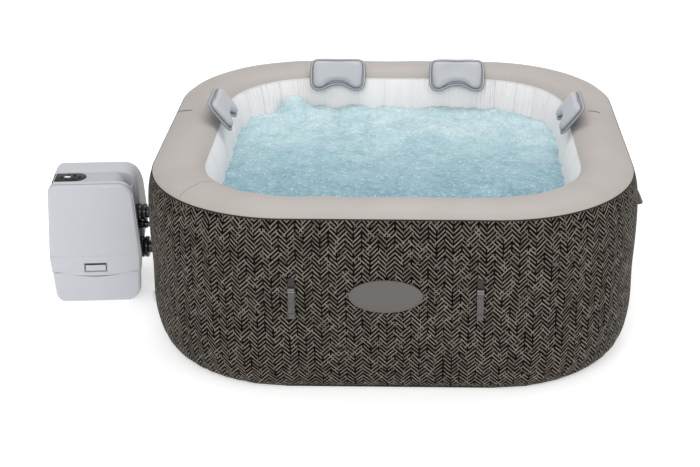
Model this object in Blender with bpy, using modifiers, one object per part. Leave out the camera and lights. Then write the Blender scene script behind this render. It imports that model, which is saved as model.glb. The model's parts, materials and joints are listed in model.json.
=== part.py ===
"""Inflatable hot tub with its floor-standing pump unit.

Metres, +Z up. The origin is the centre of the tub's underside. -Y is the front, and the pump
stands on the -X side. Every sub-part is one named object in the collection "inflatable_hot_tub".
"""
import math

import bmesh
import bpy
from mathutils import Vector

# --- Driving dimensions -------------------------------------------------------------------
CORE = 0.36            # half-length of each straight side, and the offset of the corner centres
PATH_RADIUS = 0.42     # corner radius of the path along the middle of the air chamber
CORNER_STEPS = 6
SKIN = 0.003           # thickness of the welded skins
GAP = 0.0004           # clearance between pieces that touch

# Section of the ring: (corner radius of the outline, height), each from its top to its bottom.
WALL_PROFILE = [(0.516, 0.6660), (0.531, 0.620), (0.539, 0.560), (0.5405, 0.480), (0.537, 0.360),
                (0.529, 0.240), (0.518, 0.140), (0.505, 0.065), (0.492, 0.024), (0.472, 0.0052)]
RIM_PROFILE = [(0.5155, 0.6680), (0.509, 0.683), (0.488, 0.697), (0.455, 0.7055), (0.420, 0.7075),
               (0.385, 0.7040), (0.352, 0.693), (0.3335, 0.6745)]
LINER_PROFILE = [(0.3315, 0.6700), (0.320, 0.630), (0.309, 0.550), (0.302, 0.450), (0.300, 0.340),
                 (0.302, 0.240), (0.306, 0.140), (0.311, 0.060), (0.318, 0.0112)]
CHANNEL_PROFILE = [(0.3055, 0.058), (0.290, 0.056), (0.277, 0.047), (0.267, 0.032), (0.262, 0.0095)]
BASE_RADIUS = 0.470
FLOOR_RADIUS = 0.3340
FLOOR_TOP = 0.0080

# Pump unit: its own frame has +Y from the front cover to the back, and stands slightly turned.
PUMP_PLACE = (-1.171, -0.179, 0.0)
PUMP_YAW = math.radians(4.5)
PUMP_DEPTH = 0.345
PUMP_HEIGHT = 0.497
PUMP_HALF_TOP, PUMP_HALF_MID, PUMP_HALF_FOOT = 0.160, 0.179, 0.166
PUMP_MID_HEIGHT = 0.195
SPLIT_HEIGHT = 0.120   # top of the base tray
SHELL = 0.004
FRONT_DEPTH = 0.054    # depth of the front cover
BAND_DEPTH = 0.098     # width of the channel between the covers
BAND_TOP, BAND_SIDE, BAND_LEFT = 0.006, 0.024, 0.001   # how deep the channel lies in each side
TOP_BACK_RADIUS = 0.11

# Couplings between the pump and the wall, at this Y: (height, pipe radius, nut radius).
COUPLING_Y = -0.06
UPPER = (0.339, 0.022, 0.0340)
AIR = (0.287, 0.0105, 0.0150)
LOWER = (0.190, 0.024, 0.0420)
NUT_SPAN = (-1.0205, -0.978)
JOINT_X = -1.000       # where a pump stub meets a wall stub, inside the nut

WALL_FACE = 0.9015     # the wall's widest outer face
FRONT_CENTRE = -0.0135 # the badge and the front straps are centred here, beside the tub's middle

# Straps for the lid: (name, outward angle in degrees, place along the side).
STRAP_OFFSET = 0.322
STRAP_TOP, STRAP_WIDTH = 0.432, 0.025
STRAP_STANDOFF = 0.0045
STRAPS = [("strap_right_back", 0, STRAP_OFFSET), ("strap_right_front", 0, -STRAP_OFFSET),
          ("strap_back_left", 90, STRAP_OFFSET), ("strap_back_right", 90, -STRAP_OFFSET),
          ("strap_left_front", 180, STRAP_OFFSET), ("strap_left_back", 180, -STRAP_OFFSET),
          ("strap_front_right", 270, FRONT_CENTRE + STRAP_OFFSET),
          ("strap_front_left", 270, FRONT_CENTRE - STRAP_OFFSET)]
BADGE_WIDTH, BADGE_HEIGHT, BADGE_THICK, BADGE_LEVEL = 0.254, 0.122, 0.003, 0.393

# Headrests: (name, outward angle in degrees, place along the side, shift up the slope). Their tilt
# leans them outwards over the rim's inner edge, and their centre is (distance from the tub's
# middle, height).
PILLOW_WIDTH, PILLOW_HEIGHT, PILLOW_THICK = 0.236, 0.142, 0.046
PILLOW_TILT = math.radians(37.6)
PILLOW_CENTRE = (0.667, 0.676)
HEADRESTS = [("headrest_back_left", 90, 0.257, 0.0), ("headrest_back_right", 90, -0.257, 0.0),
             ("headrest_left", 180, -0.115, 0.022), ("headrest_right", 0, 0.115, 0.022)]

# Valves in the wall: (y, height), and the radius of what goes through the wall.
VALVE, VALVE_RADIUS = (-0.325, 0.530), 0.013       # air valve, on the +X wall
DRAIN, DRAIN_BARREL = (-0.365, 0.120), 0.014       # drain, on the -X wall
DRAIN_FACE = -0.8893                               # X of the wall's face at the drain
DUCT_Y, DUCT_HEIGHT = -0.118, 0.036                # where the air duct enters the channel

# Control panel, in the pump's frame.
PANEL_TOP = 0.4955
DISPLAY_PLACE = (-0.097, 0.105)
KEY_PLACES = [(-0.121, 0.105), (-0.097, 0.083), (-0.097, 0.127), (-0.072, 0.087), (-0.072, 0.123),
              (-0.050, 0.105)]
KEY_RADIUS = 0.0055
LATCH_LOW, LATCH_HIGH = (-0.046, 0.132), (0.042, 0.169)    # the front cover's window: (x, z)
LATCH_PLAY = 0.0015

# Inside the pump, in its frame.
CIRCULATION_PLACE = (0.0, 0.12, 0.062)
BLOWER_PLACE = (-0.03, 0.245, 0.33)
HEATER_PLACE = (0.070, 0.12)
HEATER_LOW, HEATER_HIGH = 0.1185, 0.2700

parts = None
cutters = None


# --- Helpers --------------------------------------------------------------------------------
def clear_scene():
    global parts, cutters
    for item in list(bpy.data.objects):
        bpy.data.objects.remove(item)
    parts = bpy.data.collections.new("inflatable_hot_tub")
    cutters = bpy.data.collections.new("cutters")
    bpy.context.scene.collection.children.link(parts)
    bpy.context.scene.collection.children.link(cutters)


def material(name, colour, roughness, metallic=0.0):
    """A Principled material with a plain colour."""
    result = bpy.data.materials.new(name)
    result.use_nodes = True
    shader = result.node_tree.nodes["Principled BSDF"]
    shader.inputs["Base Color"].default_value = (*colour, 1.0)
    shader.inputs["Roughness"].default_value = roughness
    shader.inputs["Metallic"].default_value = metallic
    return result


def place(item, look, at=(0, 0, 0), turn=(0, 0, 0), parent=None, smooth=30):
    """Put an object among the parts, or among the cutters when it has no look."""
    for collection in list(item.users_collection):
        collection.objects.unlink(item)
    (parts if look else cutters).objects.link(item)
    item.location = at
    item.rotation_euler = turn
    item.parent = parent
    if look:
        item.data.materials.clear()
        item.data.materials.append(look)
        item.data.shade_smooth()
        item.data.set_sharp_from_angle(angle=math.radians(smooth))
    else:
        item.hide_render = True
        item.display_type = "WIRE"
    return item


def curve_object(name, points, cyclic=False, dimensions="3D"):
    curve = bpy.data.curves.new(name, "CURVE")
    curve.dimensions = dimensions
    spline = curve.splines.new("POLY")
    spline.points.add(len(points) - 1)
    for spot, point in zip(spline.points, points):
        spot.co = (*point, 0.0, 1.0) if len(point) == 2 else (*point, 1.0)
    spline.use_cyclic_u = cyclic
    item = bpy.data.objects.new(name, curve)
    bpy.context.scene.collection.objects.link(item)
    return item


def as_mesh(source, name):
    """Replace a curve object by the mesh it shows, with its caps welded on."""
    bpy.context.view_layer.update()
    depsgraph = bpy.context.evaluated_depsgraph_get()
    mesh = bpy.data.meshes.new_from_object(source.evaluated_get(depsgraph))
    data = bmesh.new()
    data.from_mesh(mesh)
    bmesh.ops.remove_doubles(data, verts=data.verts, dist=0.00001)
    data.to_mesh(mesh)
    data.free()
    place_there = source.matrix_world.copy()
    curve = source.data
    bpy.data.objects.remove(source)
    bpy.data.curves.remove(curve)
    mesh.name = name
    item = bpy.data.objects.new(name, mesh)
    item.matrix_world = place_there
    return item


def arc(centre, radius, start, end, steps):
    """Points on a circle in a plane, from one angle in degrees to another."""
    angles = [math.radians(start + (end - start) * i / steps) for i in range(steps + 1)]
    return [(centre[0] + radius * math.cos(a), centre[1] + radius * math.sin(a)) for a in angles]


def rounded_square(radius, steps=CORNER_STEPS):
    """Outline of the tub whose corners have this radius, anticlockwise."""
    signs = [(1, 1), (-1, 1), (-1, -1), (1, -1)]
    return [spot for k, (sx, sy) in enumerate(signs)
            for spot in arc((sx * CORE, sy * CORE), radius, 90 * k, 90 * k + 90, steps)]


def fillet(corners, steps=5):
    """Outline through corners (x, y, radius), with each corner rounded by its radius."""
    outline = []
    count = len(corners)
    for i, (x, y, radius) in enumerate(corners):
        here = Vector((x, y))
        before = (Vector(corners[i - 1][:2]) - here).normalized()
        after = (Vector(corners[(i + 1) % count][:2]) - here).normalized()
        if radius == 0:
            outline.append((x, y))
            continue
        half = before.angle(after) / 2
        reach = radius / math.tan(half)
        centre = here + (before + after).normalized() * radius / math.sin(half)
        first = here + before * reach - centre
        last = here + after * reach - centre
        start = math.degrees(math.atan2(first.y, first.x))
        swing = math.degrees(math.atan2(last.y, last.x)) - start
        swing = (swing + 180) % 360 - 180
        outline += arc(centre, radius, start, start + swing, steps)
    return outline


def prism(name, outline, thickness):
    """A flat outline made solid, centred on its plane."""
    shape = curve_object(name, outline, True, "2D")
    shape.data.fill_mode = "BOTH"
    shape.data.extrude = thickness / 2
    return as_mesh(shape, name)


def ring_skin(name, profile, look, thickness=SKIN):
    """A skin swept round the tub: the profile gives corner radius and height."""
    section = curve_object(name + "_section", [(PATH_RADIUS - r, z) for r, z in profile], False, "2D")
    path = curve_object(name, rounded_square(PATH_RADIUS), True, "2D")
    path.data.bevel_mode = "OBJECT"
    path.data.bevel_object = section
    item = as_mesh(path, name)
    bpy.data.objects.remove(section)
    solid = item.modifiers.new("thickness", "SOLIDIFY")
    solid.thickness = thickness
    solid.offset = 0.0
    solid.use_even_offset = True
    return place(item, look)


def turned(name, profile, look, at=(0, 0, 0), turn=(0, 0, 0), steps=24, closed=False, parent=None):
    """A profile of (radius, height) turned about Z, which runs down its outer side."""
    mesh = bpy.data.meshes.new(name)
    edges = [(i, i + 1) for i in range(len(profile) - 1)]
    if closed:
        edges.append((len(profile) - 1, 0))
    mesh.from_pydata([(r, 0.0, h) for r, h in profile], edges, [])
    item = bpy.data.objects.new(name, mesh)
    screw = item.modifiers.new("turn", "SCREW")
    screw.steps = steps
    screw.render_steps = steps
    screw.use_merge_vertices = True
    screw.merge_threshold = 0.00001
    return place(item, look, at, turn, parent)


def disc(name, radius, low, high, look, at=(0, 0, 0), turn=(0, 0, 0), steps=24, parent=None):
    profile = [(0, high), (radius, high), (radius, low), (0, low)]
    return turned(name, profile, look, at, turn, steps, parent=parent)


def sleeve(name, inner, outer, low, high, look, at=(0, 0, 0), turn=(0, 0, 0), steps=24, parent=None):
    profile = [(outer, high), (outer, low), (inner, low), (inner, high)]
    return turned(name, profile, look, at, turn, steps, True, parent)


def box(name, low, high, look, parent=None, bevel=0.0):
    size = [b - a for a, b in zip(low, high)]
    centre = [(a + b) / 2 for a, b in zip(low, high)]
    bpy.ops.mesh.primitive_cube_add(size=1.0)
    item = bpy.context.object
    item.name = name
    item.data.name = name
    for vertex in item.data.vertices:
        vertex.co = [c * s for c, s in zip(vertex.co, size)]
    if bevel:
        edge = item.modifiers.new("edges", "BEVEL")
        edge.width = bevel
        edge.segments = 2
    return place(item, look, centre, parent=parent)


def combine(item, other, operation="DIFFERENCE"):
    change = item.modifiers.new(operation.lower(), "BOOLEAN")
    change.operation = operation
    change.object = other


ALONG_X = (0, math.radians(90), 0)     # turns a profile's +Z to +X


def pipe(name, points, radius, look, sides=2):
    """A pipe along points, as a smooth curve."""
    route = curve_object(name, points)
    route.data.bevel_depth = radius
    route.data.bevel_resolution = sides
    route.data.use_fill_caps = True
    return place(as_mesh(route, name), look)


# --- Tub --------------------------------------------------------------------------------------
def side_hole(name, height, radius, reach=(-0.93, -0.60), y=COUPLING_Y):
    return disc(name, radius, reach[0], reach[1], None, (0, y, height), ALONG_X, 20)


def build_skins(looks):
    outer = ring_skin("outer_wall", WALL_PROFILE, looks["print"])
    ring_skin("rim_panel", RIM_PROFILE, looks["rim"])
    liner = ring_skin("inner_liner", LINER_PROFILE, looks["liner"])
    ring_skin("air_channel", CHANNEL_PROFILE, looks["liner"], 0.002)
    for key, (height, radius, _) in (("upper", UPPER), ("air", AIR), ("lower", LOWER)):
        hole = side_hole("hole_" + key, height, radius + 0.001)
        combine(outer, hole)
        if key != "air":
            combine(liner, hole)
    combine(liner, side_hole("hole_duct", DUCT_HEIGHT, AIR[1] + 0.001, (-0.70, -0.60), DUCT_Y))
    combine(outer, side_hole("hole_drain", DRAIN[1], DRAIN_BARREL + 0.001, (-0.95, -0.80), DRAIN[0]))
    valve_hole = disc("hole_valve", VALVE_RADIUS + 0.001, 0.85, 0.95, None, (0, VALVE[0], VALVE[1]),
                      ALONG_X, 20)
    combine(outer, valve_hole)
    base = prism("base_sheet", rounded_square(BASE_RADIUS), SKIN)
    place(base, looks["liner"], (0, 0, SKIN / 2))
    floor = prism("floor_sheet", rounded_square(FLOOR_RADIUS), FLOOR_TOP - SKIN - GAP)
    place(floor, looks["liner"], (0, 0, (FLOOR_TOP + SKIN + GAP) / 2))


def web_outline():
    """The part of the chamber's section that each welded web fills."""
    clear = SKIN / 2 + GAP + 0.0006
    inner = [(r + clear, z) for r, z in LINER_PROFILE if 0.03 < z < 0.64]
    outer = [(r - clear, z) for r, z in WALL_PROFILE if 0.03 < z < 0.64]
    return inner + outer[::-1]


def build_webs(looks):
    """Upright webs between the two walls, joined by a strip along the bottom of the chamber."""
    stations = []
    for k in range(4):
        turn = math.radians(90 * k)
        for along in (-0.24, 0.0, 0.24):
            stations.append((Vector((CORE, along, 0)), turn, 0.0))
        for angle in (15, 45, 75):
            stations.append((Vector((CORE, CORE, 0)), turn, math.radians(angle)))
    data = bmesh.new()
    outline = web_outline()
    for centre, turn, swing in stations:
        points = []
        for side in (-0.0008, 0.0008):
            for r, z in outline:
                local = Vector((r * math.cos(swing) - side * math.sin(swing),
                                r * math.sin(swing) + side * math.cos(swing), z)) + centre
                points.append(data.verts.new((local.x * math.cos(turn) - local.y * math.sin(turn),
                                              local.x * math.sin(turn) + local.y * math.cos(turn), z)))
        count = len(outline)
        data.faces.new(points[:count])
        data.faces.new(points[count:][::-1])
        for i in range(count):
            j = (i + 1) % count
            data.faces.new((points[j], points[i], points[i + count], points[j + count]))
    bmesh.ops.recalc_face_normals(data, faces=data.faces)
    mesh = bpy.data.meshes.new("wall_webs")
    data.to_mesh(mesh)
    data.free()
    webs = place(bpy.data.objects.new("wall_webs", mesh), looks["liner"])
    strip = ring_skin("web_strip", [(0.485, 0.0700), (0.455, 0.0700)], looks["liner"], 0.0016)
    place(strip, None)
    combine(webs, strip, "UNION")


def oval(width, height, steps=32):
    turns = [2 * math.pi * i / steps for i in range(steps)]
    return [(width / 2 * math.cos(a), height / 2 * math.sin(a)) for a in turns]


def side_spot(angle, outwards, along, height):
    """A place beside the tub: an angle in degrees, the distance from its middle, the place along the side."""
    turn = math.radians(angle)
    return (outwards * math.cos(turn) - along * math.sin(turn),
            outwards * math.sin(turn) + along * math.cos(turn), height)


def build_badge(looks):
    badge = prism("side_badge", oval(BADGE_WIDTH, BADGE_HEIGHT), BADGE_THICK)
    place(badge, looks["grey_plastic"], (FRONT_CENTRE, -WALL_FACE - GAP - BADGE_THICK / 2, BADGE_LEVEL),
          (math.radians(90), 0, 0))


def build_straps(looks):
    """Buckle straps for the lid, each hinged at its top edge."""
    outline = fillet([(-0.0035, 0.005, 0.002), (0.0085, 0.005, 0.003), (0.0085, -0.024, 0.0),
                      (0.0055, -0.032, 0.0), (0.0055, -0.116, 0.0), (0.008, -0.122, 0.0),
                      (0.008, -0.125, 0.001), (0.001, -0.125, 0.001), (0.001, -0.028, 0.0)], 2)
    for name, angle, along in STRAPS:
        strap = prism(name, outline, STRAP_WIDTH)
        place(strap, looks["grey_plastic"], side_spot(angle, WALL_FACE + STRAP_STANDOFF, along, STRAP_TOP),
              (math.radians(90), 0, math.radians(angle)))


def pillow_mesh():
    """Half of a headrest, with a lobed lower edge: X along the rim, Y up the slope."""
    half, tall, thick = PILLOW_WIDTH / 2, PILLOW_HEIGHT / 2, PILLOW_THICK / 2
    columns = [(0.0, 0.86, -0.62, 1.0), (0.36, 0.9, -0.85, 1.0), (0.74, 1.0, -1.15, 1.0),
               (1.07, 0.95, -1.0, 0.75)]
    data = bmesh.new()
    rows = []
    for x, top, bottom, fat in columns:
        front, back = -thick * fat, 0.7 * thick * fat
        ring = [(front, bottom * tall), (1.35 * front, 0), (front, top * 1.12 * tall),
                (back, top * 1.12 * tall), (back, 0), (back, bottom * tall)]
        rows.append([data.verts.new((x * half, y, z)) for y, z in ring])
    for left, right in zip(rows, rows[1:]):
        for i in range(6):
            j = (i + 1) % 6
            data.faces.new((left[i], left[j], right[j], right[i]))
    last = rows[-1]
    data.faces.new((last[0], last[1], last[4], last[5]))
    data.faces.new((last[1], last[2], last[3], last[4]))
    bmesh.ops.recalc_face_normals(data, faces=data.faces)
    mesh = bpy.data.meshes.new("headrest")
    data.to_mesh(mesh)
    data.free()
    return mesh


def build_headrests(looks):
    mesh = pillow_mesh()
    for name, angle, along, shift in HEADRESTS:
        item = bpy.data.objects.new(name, mesh.copy())
        mirror = item.modifiers.new("other_half", "MIRROR")
        mirror.merge_threshold = 0.0001
        smooth = item.modifiers.new("soft", "SUBSURF")
        smooth.levels = 1
        smooth.render_levels = 1
        out = PILLOW_CENTRE[0] + shift * math.sin(PILLOW_TILT)
        height = PILLOW_CENTRE[1] + shift * math.cos(PILLOW_TILT)
        place(item, looks["pillow"], side_spot(angle, out, along, height),
              (-PILLOW_TILT, 0, math.radians(angle - 90)))


def build_valves(looks):
    at = (WALL_FACE, VALVE[0], VALVE[1])
    turned("valve_body", [(0.008, 0.004), (0.017, 0.004), (0.019, 0.0008), (VALVE_RADIUS, 0.0008),
                          (VALVE_RADIUS, -0.030), (0.008, -0.030)], looks["white_plastic"], at,
           ALONG_X, 20, True)
    turned("valve_cap", [(0, 0.0105), (0.013, 0.0105), (0.015, 0.009), (0.015, 0.0045), (0.0075, 0.0045),
                         (0.0075, -0.010), (0, -0.010)], looks["white_plastic"], at, ALONG_X, 20)
    hood = turned("valve_hood", [(0, -0.026), (0.017, -0.0255), (0.0255, -0.022), (0.030, -0.012),
                                 (0.030, 0), (0.0325, 0), (0.0325, -0.012), (0.028, -0.024),
                                 (0.018, -0.0285), (0, -0.029)],
                  looks["grey_plastic"], (WALL_FACE + 0.0008, VALVE[0], VALVE[1] + 0.002),
                  (0, math.radians(-90), 0), 20)
    mouth = box("hood_mouth", (WALL_FACE - 0.01, VALVE[0] - 0.05, VALVE[1] - 0.06),
                (WALL_FACE + 0.04, VALVE[0] + 0.05, VALVE[1] - 0.018), None)
    combine(hood, mouth)
    at = (DRAIN_FACE, DRAIN[0], DRAIN[1])
    turned("drain_body", [(0.010, 0.018), (0.017, 0.018), (0.017, 0.004), (0.026, 0.004),
                          (0.026, 0.0), (DRAIN_BARREL, 0.0), (DRAIN_BARREL, -0.025), (0.010, -0.025)],
           looks["white_plastic"], at, (0, math.radians(-90), 0), 20, True)
    turned("drain_cap", [(0, 0.026), (0.019, 0.026), (0.021, 0.024), (0.021, 0.0055), (0.0175, 0.0055),
                         (0.0175, 0.0185), (0, 0.0185)], looks["white_plastic"], at,
           (0, math.radians(-90), 0), 20)


def build_wall_ports(looks):
    """Tubes through the wall to the couplings, and the fittings on their inner ends."""
    for name, (height, radius, _), flange, face in (("port_upper", UPPER, 0.0285, -0.9000),
                                                    ("port_lower", LOWER, 0.0360, -0.8905)):
        inner = radius - 0.004
        profile = [(radius, -0.6520), (radius, face), (flange, face), (flange, face - 0.005),
                   (radius, face - 0.005), (radius, JOINT_X + GAP), (inner, JOINT_X + GAP), (inner, -0.6520)]
        turned(name, profile, looks["black_plastic"], (0, COUPLING_Y, height), ALONG_X, 24, True)
    side = DUCT_Y
    pipe("air_duct", [(JOINT_X + GAP, COUPLING_Y, AIR[0]), (-0.850, COUPLING_Y, AIR[0]),
                      (-0.822, COUPLING_Y - 0.008, AIR[0] - 0.001), (-0.800, side + 0.026, AIR[0] - 0.006),
                      (-0.786, side + 0.008, AIR[0] - 0.018), (-0.780, side, AIR[0] - 0.040),
                      (-0.780, side, 0.085), (-0.773, side, 0.058), (-0.755, side, 0.041),
                      (-0.730, side, DUCT_HEIGHT), (-0.655, side, DUCT_HEIGHT)], AIR[1],
         looks["black_plastic"])
    screen = turned("outlet_screen", [(0, -0.636), (0.028, -0.638), (0.033, -0.644), (0.033, -0.6575),
                                      (0.0225, -0.6575), (0.0225, -0.641), (0, -0.639)],
                    looks["white_plastic"], (0, COUPLING_Y, UPPER[0]), ALONG_X, 20)
    for i in range(3):
        offset = (i - 1) * 0.011
        slot = box("screen_slot_%d" % i, (-0.66, COUPLING_Y - 0.015, UPPER[0] + offset - 0.002),
                   (-0.62, COUPLING_Y + 0.015, UPPER[0] + offset + 0.002), None)
        combine(screen, slot)
    housing = turned("filter_housing", [(0.0245, -0.6575), (0.0245, -0.6545), (0.053, -0.6545),
                                        (0.053, -0.560), (0.056, -0.560), (0.056, -0.6575)],
                     looks["white_plastic"], (0, COUPLING_Y, LOWER[0]), ALONG_X, 28, True)
    for i in range(2):
        slot = box("filter_slot_%d" % i, (-0.64, COUPLING_Y - 0.08, LOWER[0] - 0.012),
                   (-0.58, COUPLING_Y + 0.08, LOWER[0] + 0.012), None)
        slot.rotation_euler = (math.radians(90 * i), 0, 0)
        combine(housing, slot)
    folds = 16
    outline = [(r * math.cos(math.pi * i / folds), r * math.sin(math.pi * i / folds))
               for i in range(2 * folds) for r in ((0.050 if i % 2 else 0.044),)]
    cartridge = prism("filter_cartridge", outline, 0.088)
    place(cartridge, looks["filter"], (-0.606, COUPLING_Y, LOWER[0]), ALONG_X)
    combine(cartridge, disc("cartridge_bore", 0.020, -0.1, 0.1, None, (-0.606, COUPLING_Y, LOWER[0]),
                            ALONG_X, 16))


def nut_profile(bore, radius):
    """A coupling nut: two collars with a waist between them."""
    low, high = NUT_SPAN
    width = high - low
    return [(bore, high), (radius * 0.93, high), (radius, high - 0.15 * width),
            (radius, high - 0.42 * width), (radius * 0.88, high - 0.46 * width),
            (radius * 0.88, high - 0.56 * width), (radius, high - 0.60 * width),
            (radius, low + 0.1 * width), (radius * 0.95, low), (bore, low)]


def build_nuts(looks):
    for name, (height, radius, size) in (("nut_upper", UPPER), ("nut_air", AIR), ("nut_lower", LOWER)):
        turned(name, nut_profile(radius + 0.0006, size), looks["black_plastic"],
               (0, COUPLING_Y, height), ALONG_X, 18, True)


# --- Pump unit --------------------------------------------------------------------------------
def pump_outline(left=0.0, right=0.0, top=0.0, foot=0.0):
    """The pump's outline seen from the front, moved inwards by these amounts."""
    height = PUMP_HEIGHT - top
    corners = [(-PUMP_HALF_FOOT + left, foot, 0.035), (PUMP_HALF_FOOT - right, foot, 0.045),
               (PUMP_HALF_MID - right, PUMP_MID_HEIGHT, 0.0),
               (PUMP_HALF_TOP - right, height, 0.055 - min(right, 0.01)),
               (-PUMP_HALF_TOP + left, height, 0.045 - min(left, 0.01)),
               (-PUMP_HALF_MID + left, PUMP_MID_HEIGHT, 0.0)]
    return fillet(corners)


def pump_prism(name, look, pump, start, end, **inset):
    """The outline between two depths of the pump."""
    item = prism(name, pump_outline(**inset), end - start)
    return place(item, look, (0, (start + end) / 2, 0), (math.radians(90), 0, 0), pump)


def back_rounding(name, pump, inset):
    """The side view of the unit, with a large radius where the top meets the back."""
    back, top = PUMP_DEPTH - inset, PUMP_HEIGHT - inset
    outline = fillet([(-0.05, -0.05, 0), (back, -0.05, 0), (back, top, TOP_BACK_RADIUS - inset),
                      (-0.05, top, 0)], 8)
    item = prism(name, outline, 0.6)
    return place(item, None, (0, 0, 0), (math.radians(90), 0, math.radians(90)), pump)


def build_pump_shells(looks, pump):
    plastic = looks["pump"]
    band_start, band_end = FRONT_DEPTH, FRONT_DEPTH + BAND_DEPTH
    wall = {"left": SHELL, "right": SHELL, "top": SHELL, "foot": SHELL}
    mouth = {"left": 0.020, "right": 0.034, "top": 0.020}
    above = box("above_split", (-0.3, -0.1, SPLIT_HEIGHT), (0.3, 0.5, 0.6), None, pump)
    below = box("below_split", (-0.3, -0.1, -0.1), (0.3, 0.5, SPLIT_HEIGHT + GAP), None, pump)

    base = pump_prism("pump_base", plastic, pump, 0.0, PUMP_DEPTH)
    combine(base, pump_prism("base_room", None, pump, SHELL, PUMP_DEPTH - SHELL, **wall))
    combine(base, above)

    front = pump_prism("front_cover", plastic, pump, 0.0, FRONT_DEPTH - GAP)
    combine(front, pump_prism("front_room", None, pump, SHELL, FRONT_DEPTH - SHELL, **wall))
    combine(front, pump_prism("front_mouth", None, pump, FRONT_DEPTH - 0.01, FRONT_DEPTH + 0.01, **mouth))
    combine(front, below)
    combine(front, box("latch_window", (LATCH_LOW[0], -0.02, LATCH_LOW[1]),
                       (LATCH_HIGH[0], 0.02, LATCH_HIGH[1]), None, pump))

    band = pump_prism("centre_band", plastic, pump, band_start, band_end,
                      left=BAND_LEFT, right=BAND_SIDE, top=BAND_TOP)
    combine(band, pump_prism("band_room", None, pump, band_start - 0.01, band_end + 0.01,
                             left=BAND_LEFT + SHELL, right=BAND_SIDE + SHELL, top=BAND_TOP + SHELL))
    combine(band, below)
    for key, (height, radius, _) in (("upper", UPPER), ("air", AIR), ("lower", LOWER)):
        combine(band, side_hole("band_hole_" + key, height, radius + 0.0015, (-1.10, -0.98)))

    rear = pump_prism("rear_cover", plastic, pump, band_end + GAP, PUMP_DEPTH)
    combine(rear, back_rounding("rear_outside", pump, 0.0), "INTERSECT")
    room = pump_prism("rear_room", None, pump, band_end + SHELL, PUMP_DEPTH - SHELL, **wall)
    combine(room, back_rounding("rear_inside", pump, SHELL), "INTERSECT")
    combine(rear, room)
    combine(rear, pump_prism("rear_mouth", None, pump, band_end - 0.01, band_end + 0.01, **mouth))
    combine(rear, below)
    for i in range(5):
        height = 0.20 + 0.022 * i
        combine(rear, box("vent_%d" % i, (-0.09, 0.33, height), (0.09, 0.36, height + 0.008), None, pump))


def build_panel(looks, pump):
    """Control panel with a rounded end, its display and its keys."""
    band_face = PUMP_HEIGHT - BAND_TOP
    low = band_face + GAP
    outline = [(-0.1345, 0.071), (-0.068, 0.071)]
    outline += arc((-0.068, 0.105), 0.034, -90, 90, 8)[1:]
    outline += [(-0.1345, 0.139)]
    panel = place(prism("control_panel", outline, PANEL_TOP - low), looks["panel"],
                  (0, 0, (PANEL_TOP + low) / 2), parent=pump)
    place(prism("display_lens", oval(0.026, 0.014, 16), 0.003), looks["lens"],
          (*DISPLAY_PLACE, PANEL_TOP - 0.001), parent=pump)
    pocket = place(prism("lens_pocket", oval(0.0268, 0.0148, 16), 0.02), None,
                   (*DISPLAY_PLACE, PANEL_TOP), parent=pump)
    combine(panel, pocket)
    for number, spot in enumerate(KEY_PLACES, 1):
        hole = disc("key_hole_%d" % number, KEY_RADIUS + 0.0004, -0.02, 0.02, None, (*spot, low), steps=12,
                    parent=pump)
        combine(panel, hole)
        turned("key_%d" % number, [(0, 0.0038), (KEY_RADIUS * 0.8, 0.0038), (KEY_RADIUS, 0.0030),
                                   (KEY_RADIUS, 0.0), (0, 0.0)], looks["panel"],
               (*spot, band_face + 0.0022), steps=12, parent=pump)


def build_front_details(looks, pump):
    box("latch_tab", (LATCH_LOW[0] + LATCH_PLAY, 0.0006, LATCH_LOW[1] + LATCH_PLAY),
        (LATCH_HIGH[0] - LATCH_PLAY, 0.0046, LATCH_HIGH[1] - LATCH_PLAY), looks["pump"], pump, 0.001)
    turned("cable_gland", [(0.006, 0.022), (0.009, 0.022), (0.011, 0.008), (0.011, 0.004), (0.015, 0.003),
                           (0.015, GAP), (0.006, GAP)], looks["black_plastic"], (-0.12, PUMP_DEPTH, 0.07),
           (math.radians(-90), 0, 0), 16, True, pump)


def build_circulation(looks, pump):
    """Motor, volute and impeller of the filter pump, and the heater that stands on the volute."""
    at = CIRCULATION_PLACE
    turned("circulation_motor", [(0, 0.039), (0.036, 0.039), (0.036, -0.055), (0.030, -0.062), (0, -0.062)],
           looks["motor"], at, ALONG_X, 20, parent=pump)
    turned("circulation_volute", [(0.016, 0.094), (0.050, 0.090), (0.050, 0.0395), (0.008, 0.0395),
                                  (0.008, 0.0425), (0.047, 0.0425), (0.047, 0.087), (0.016, 0.091)],
           looks["black_plastic"], at, ALONG_X, 24, True, pump)
    impeller = disc("circulation_impeller", 0.012, 0.044, 0.074, looks["white_plastic"], at, ALONG_X, 16,
                    pump)
    for i in range(3):
        blade = box("impeller_blade_%d" % i, (at[0] + 0.050, at[1] - 0.038, at[2] - 0.0015),
                    (at[0] + 0.068, at[1] + 0.038, at[2] + 0.0015), None, pump)
        blade.rotation_euler = (math.radians(60 * i), 0, 0)
        combine(impeller, blade, "UNION")


def build_blower(looks, pump):
    """Air blower: a drum housing with its fan, on a motor that stands under it."""
    at = BLOWER_PLACE
    turned("blower_motor", [(0, -0.005), (0.038, -0.005), (0.040, -0.010), (0.040, -0.115), (0, -0.115)],
           looks["motor"], at, steps=20, parent=pump)
    turned("blower_housing", [(0.024, 0.052), (0.060, 0.050), (0.060, -0.0045), (0.008, -0.0045),
                              (0.008, -0.0015), (0.057, -0.0015), (0.057, 0.047), (0.024, 0.049)],
           looks["black_plastic"], at, (0, 0, 0), 24, True, pump)
    fan = disc("blower_fan", 0.014, 0.001, 0.040, looks["white_plastic"], at, steps=16, parent=pump)
    for i in range(4):
        blade = box("fan_blade_%d" % i, (at[0] - 0.052, at[1] - 0.001, at[2] + 0.006),
                    (at[0] + 0.052, at[1] + 0.001, at[2] + 0.034), None, pump)
        blade.rotation_euler = (0, 0, math.radians(45 * i))
        combine(fan, blade, "UNION")


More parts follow.
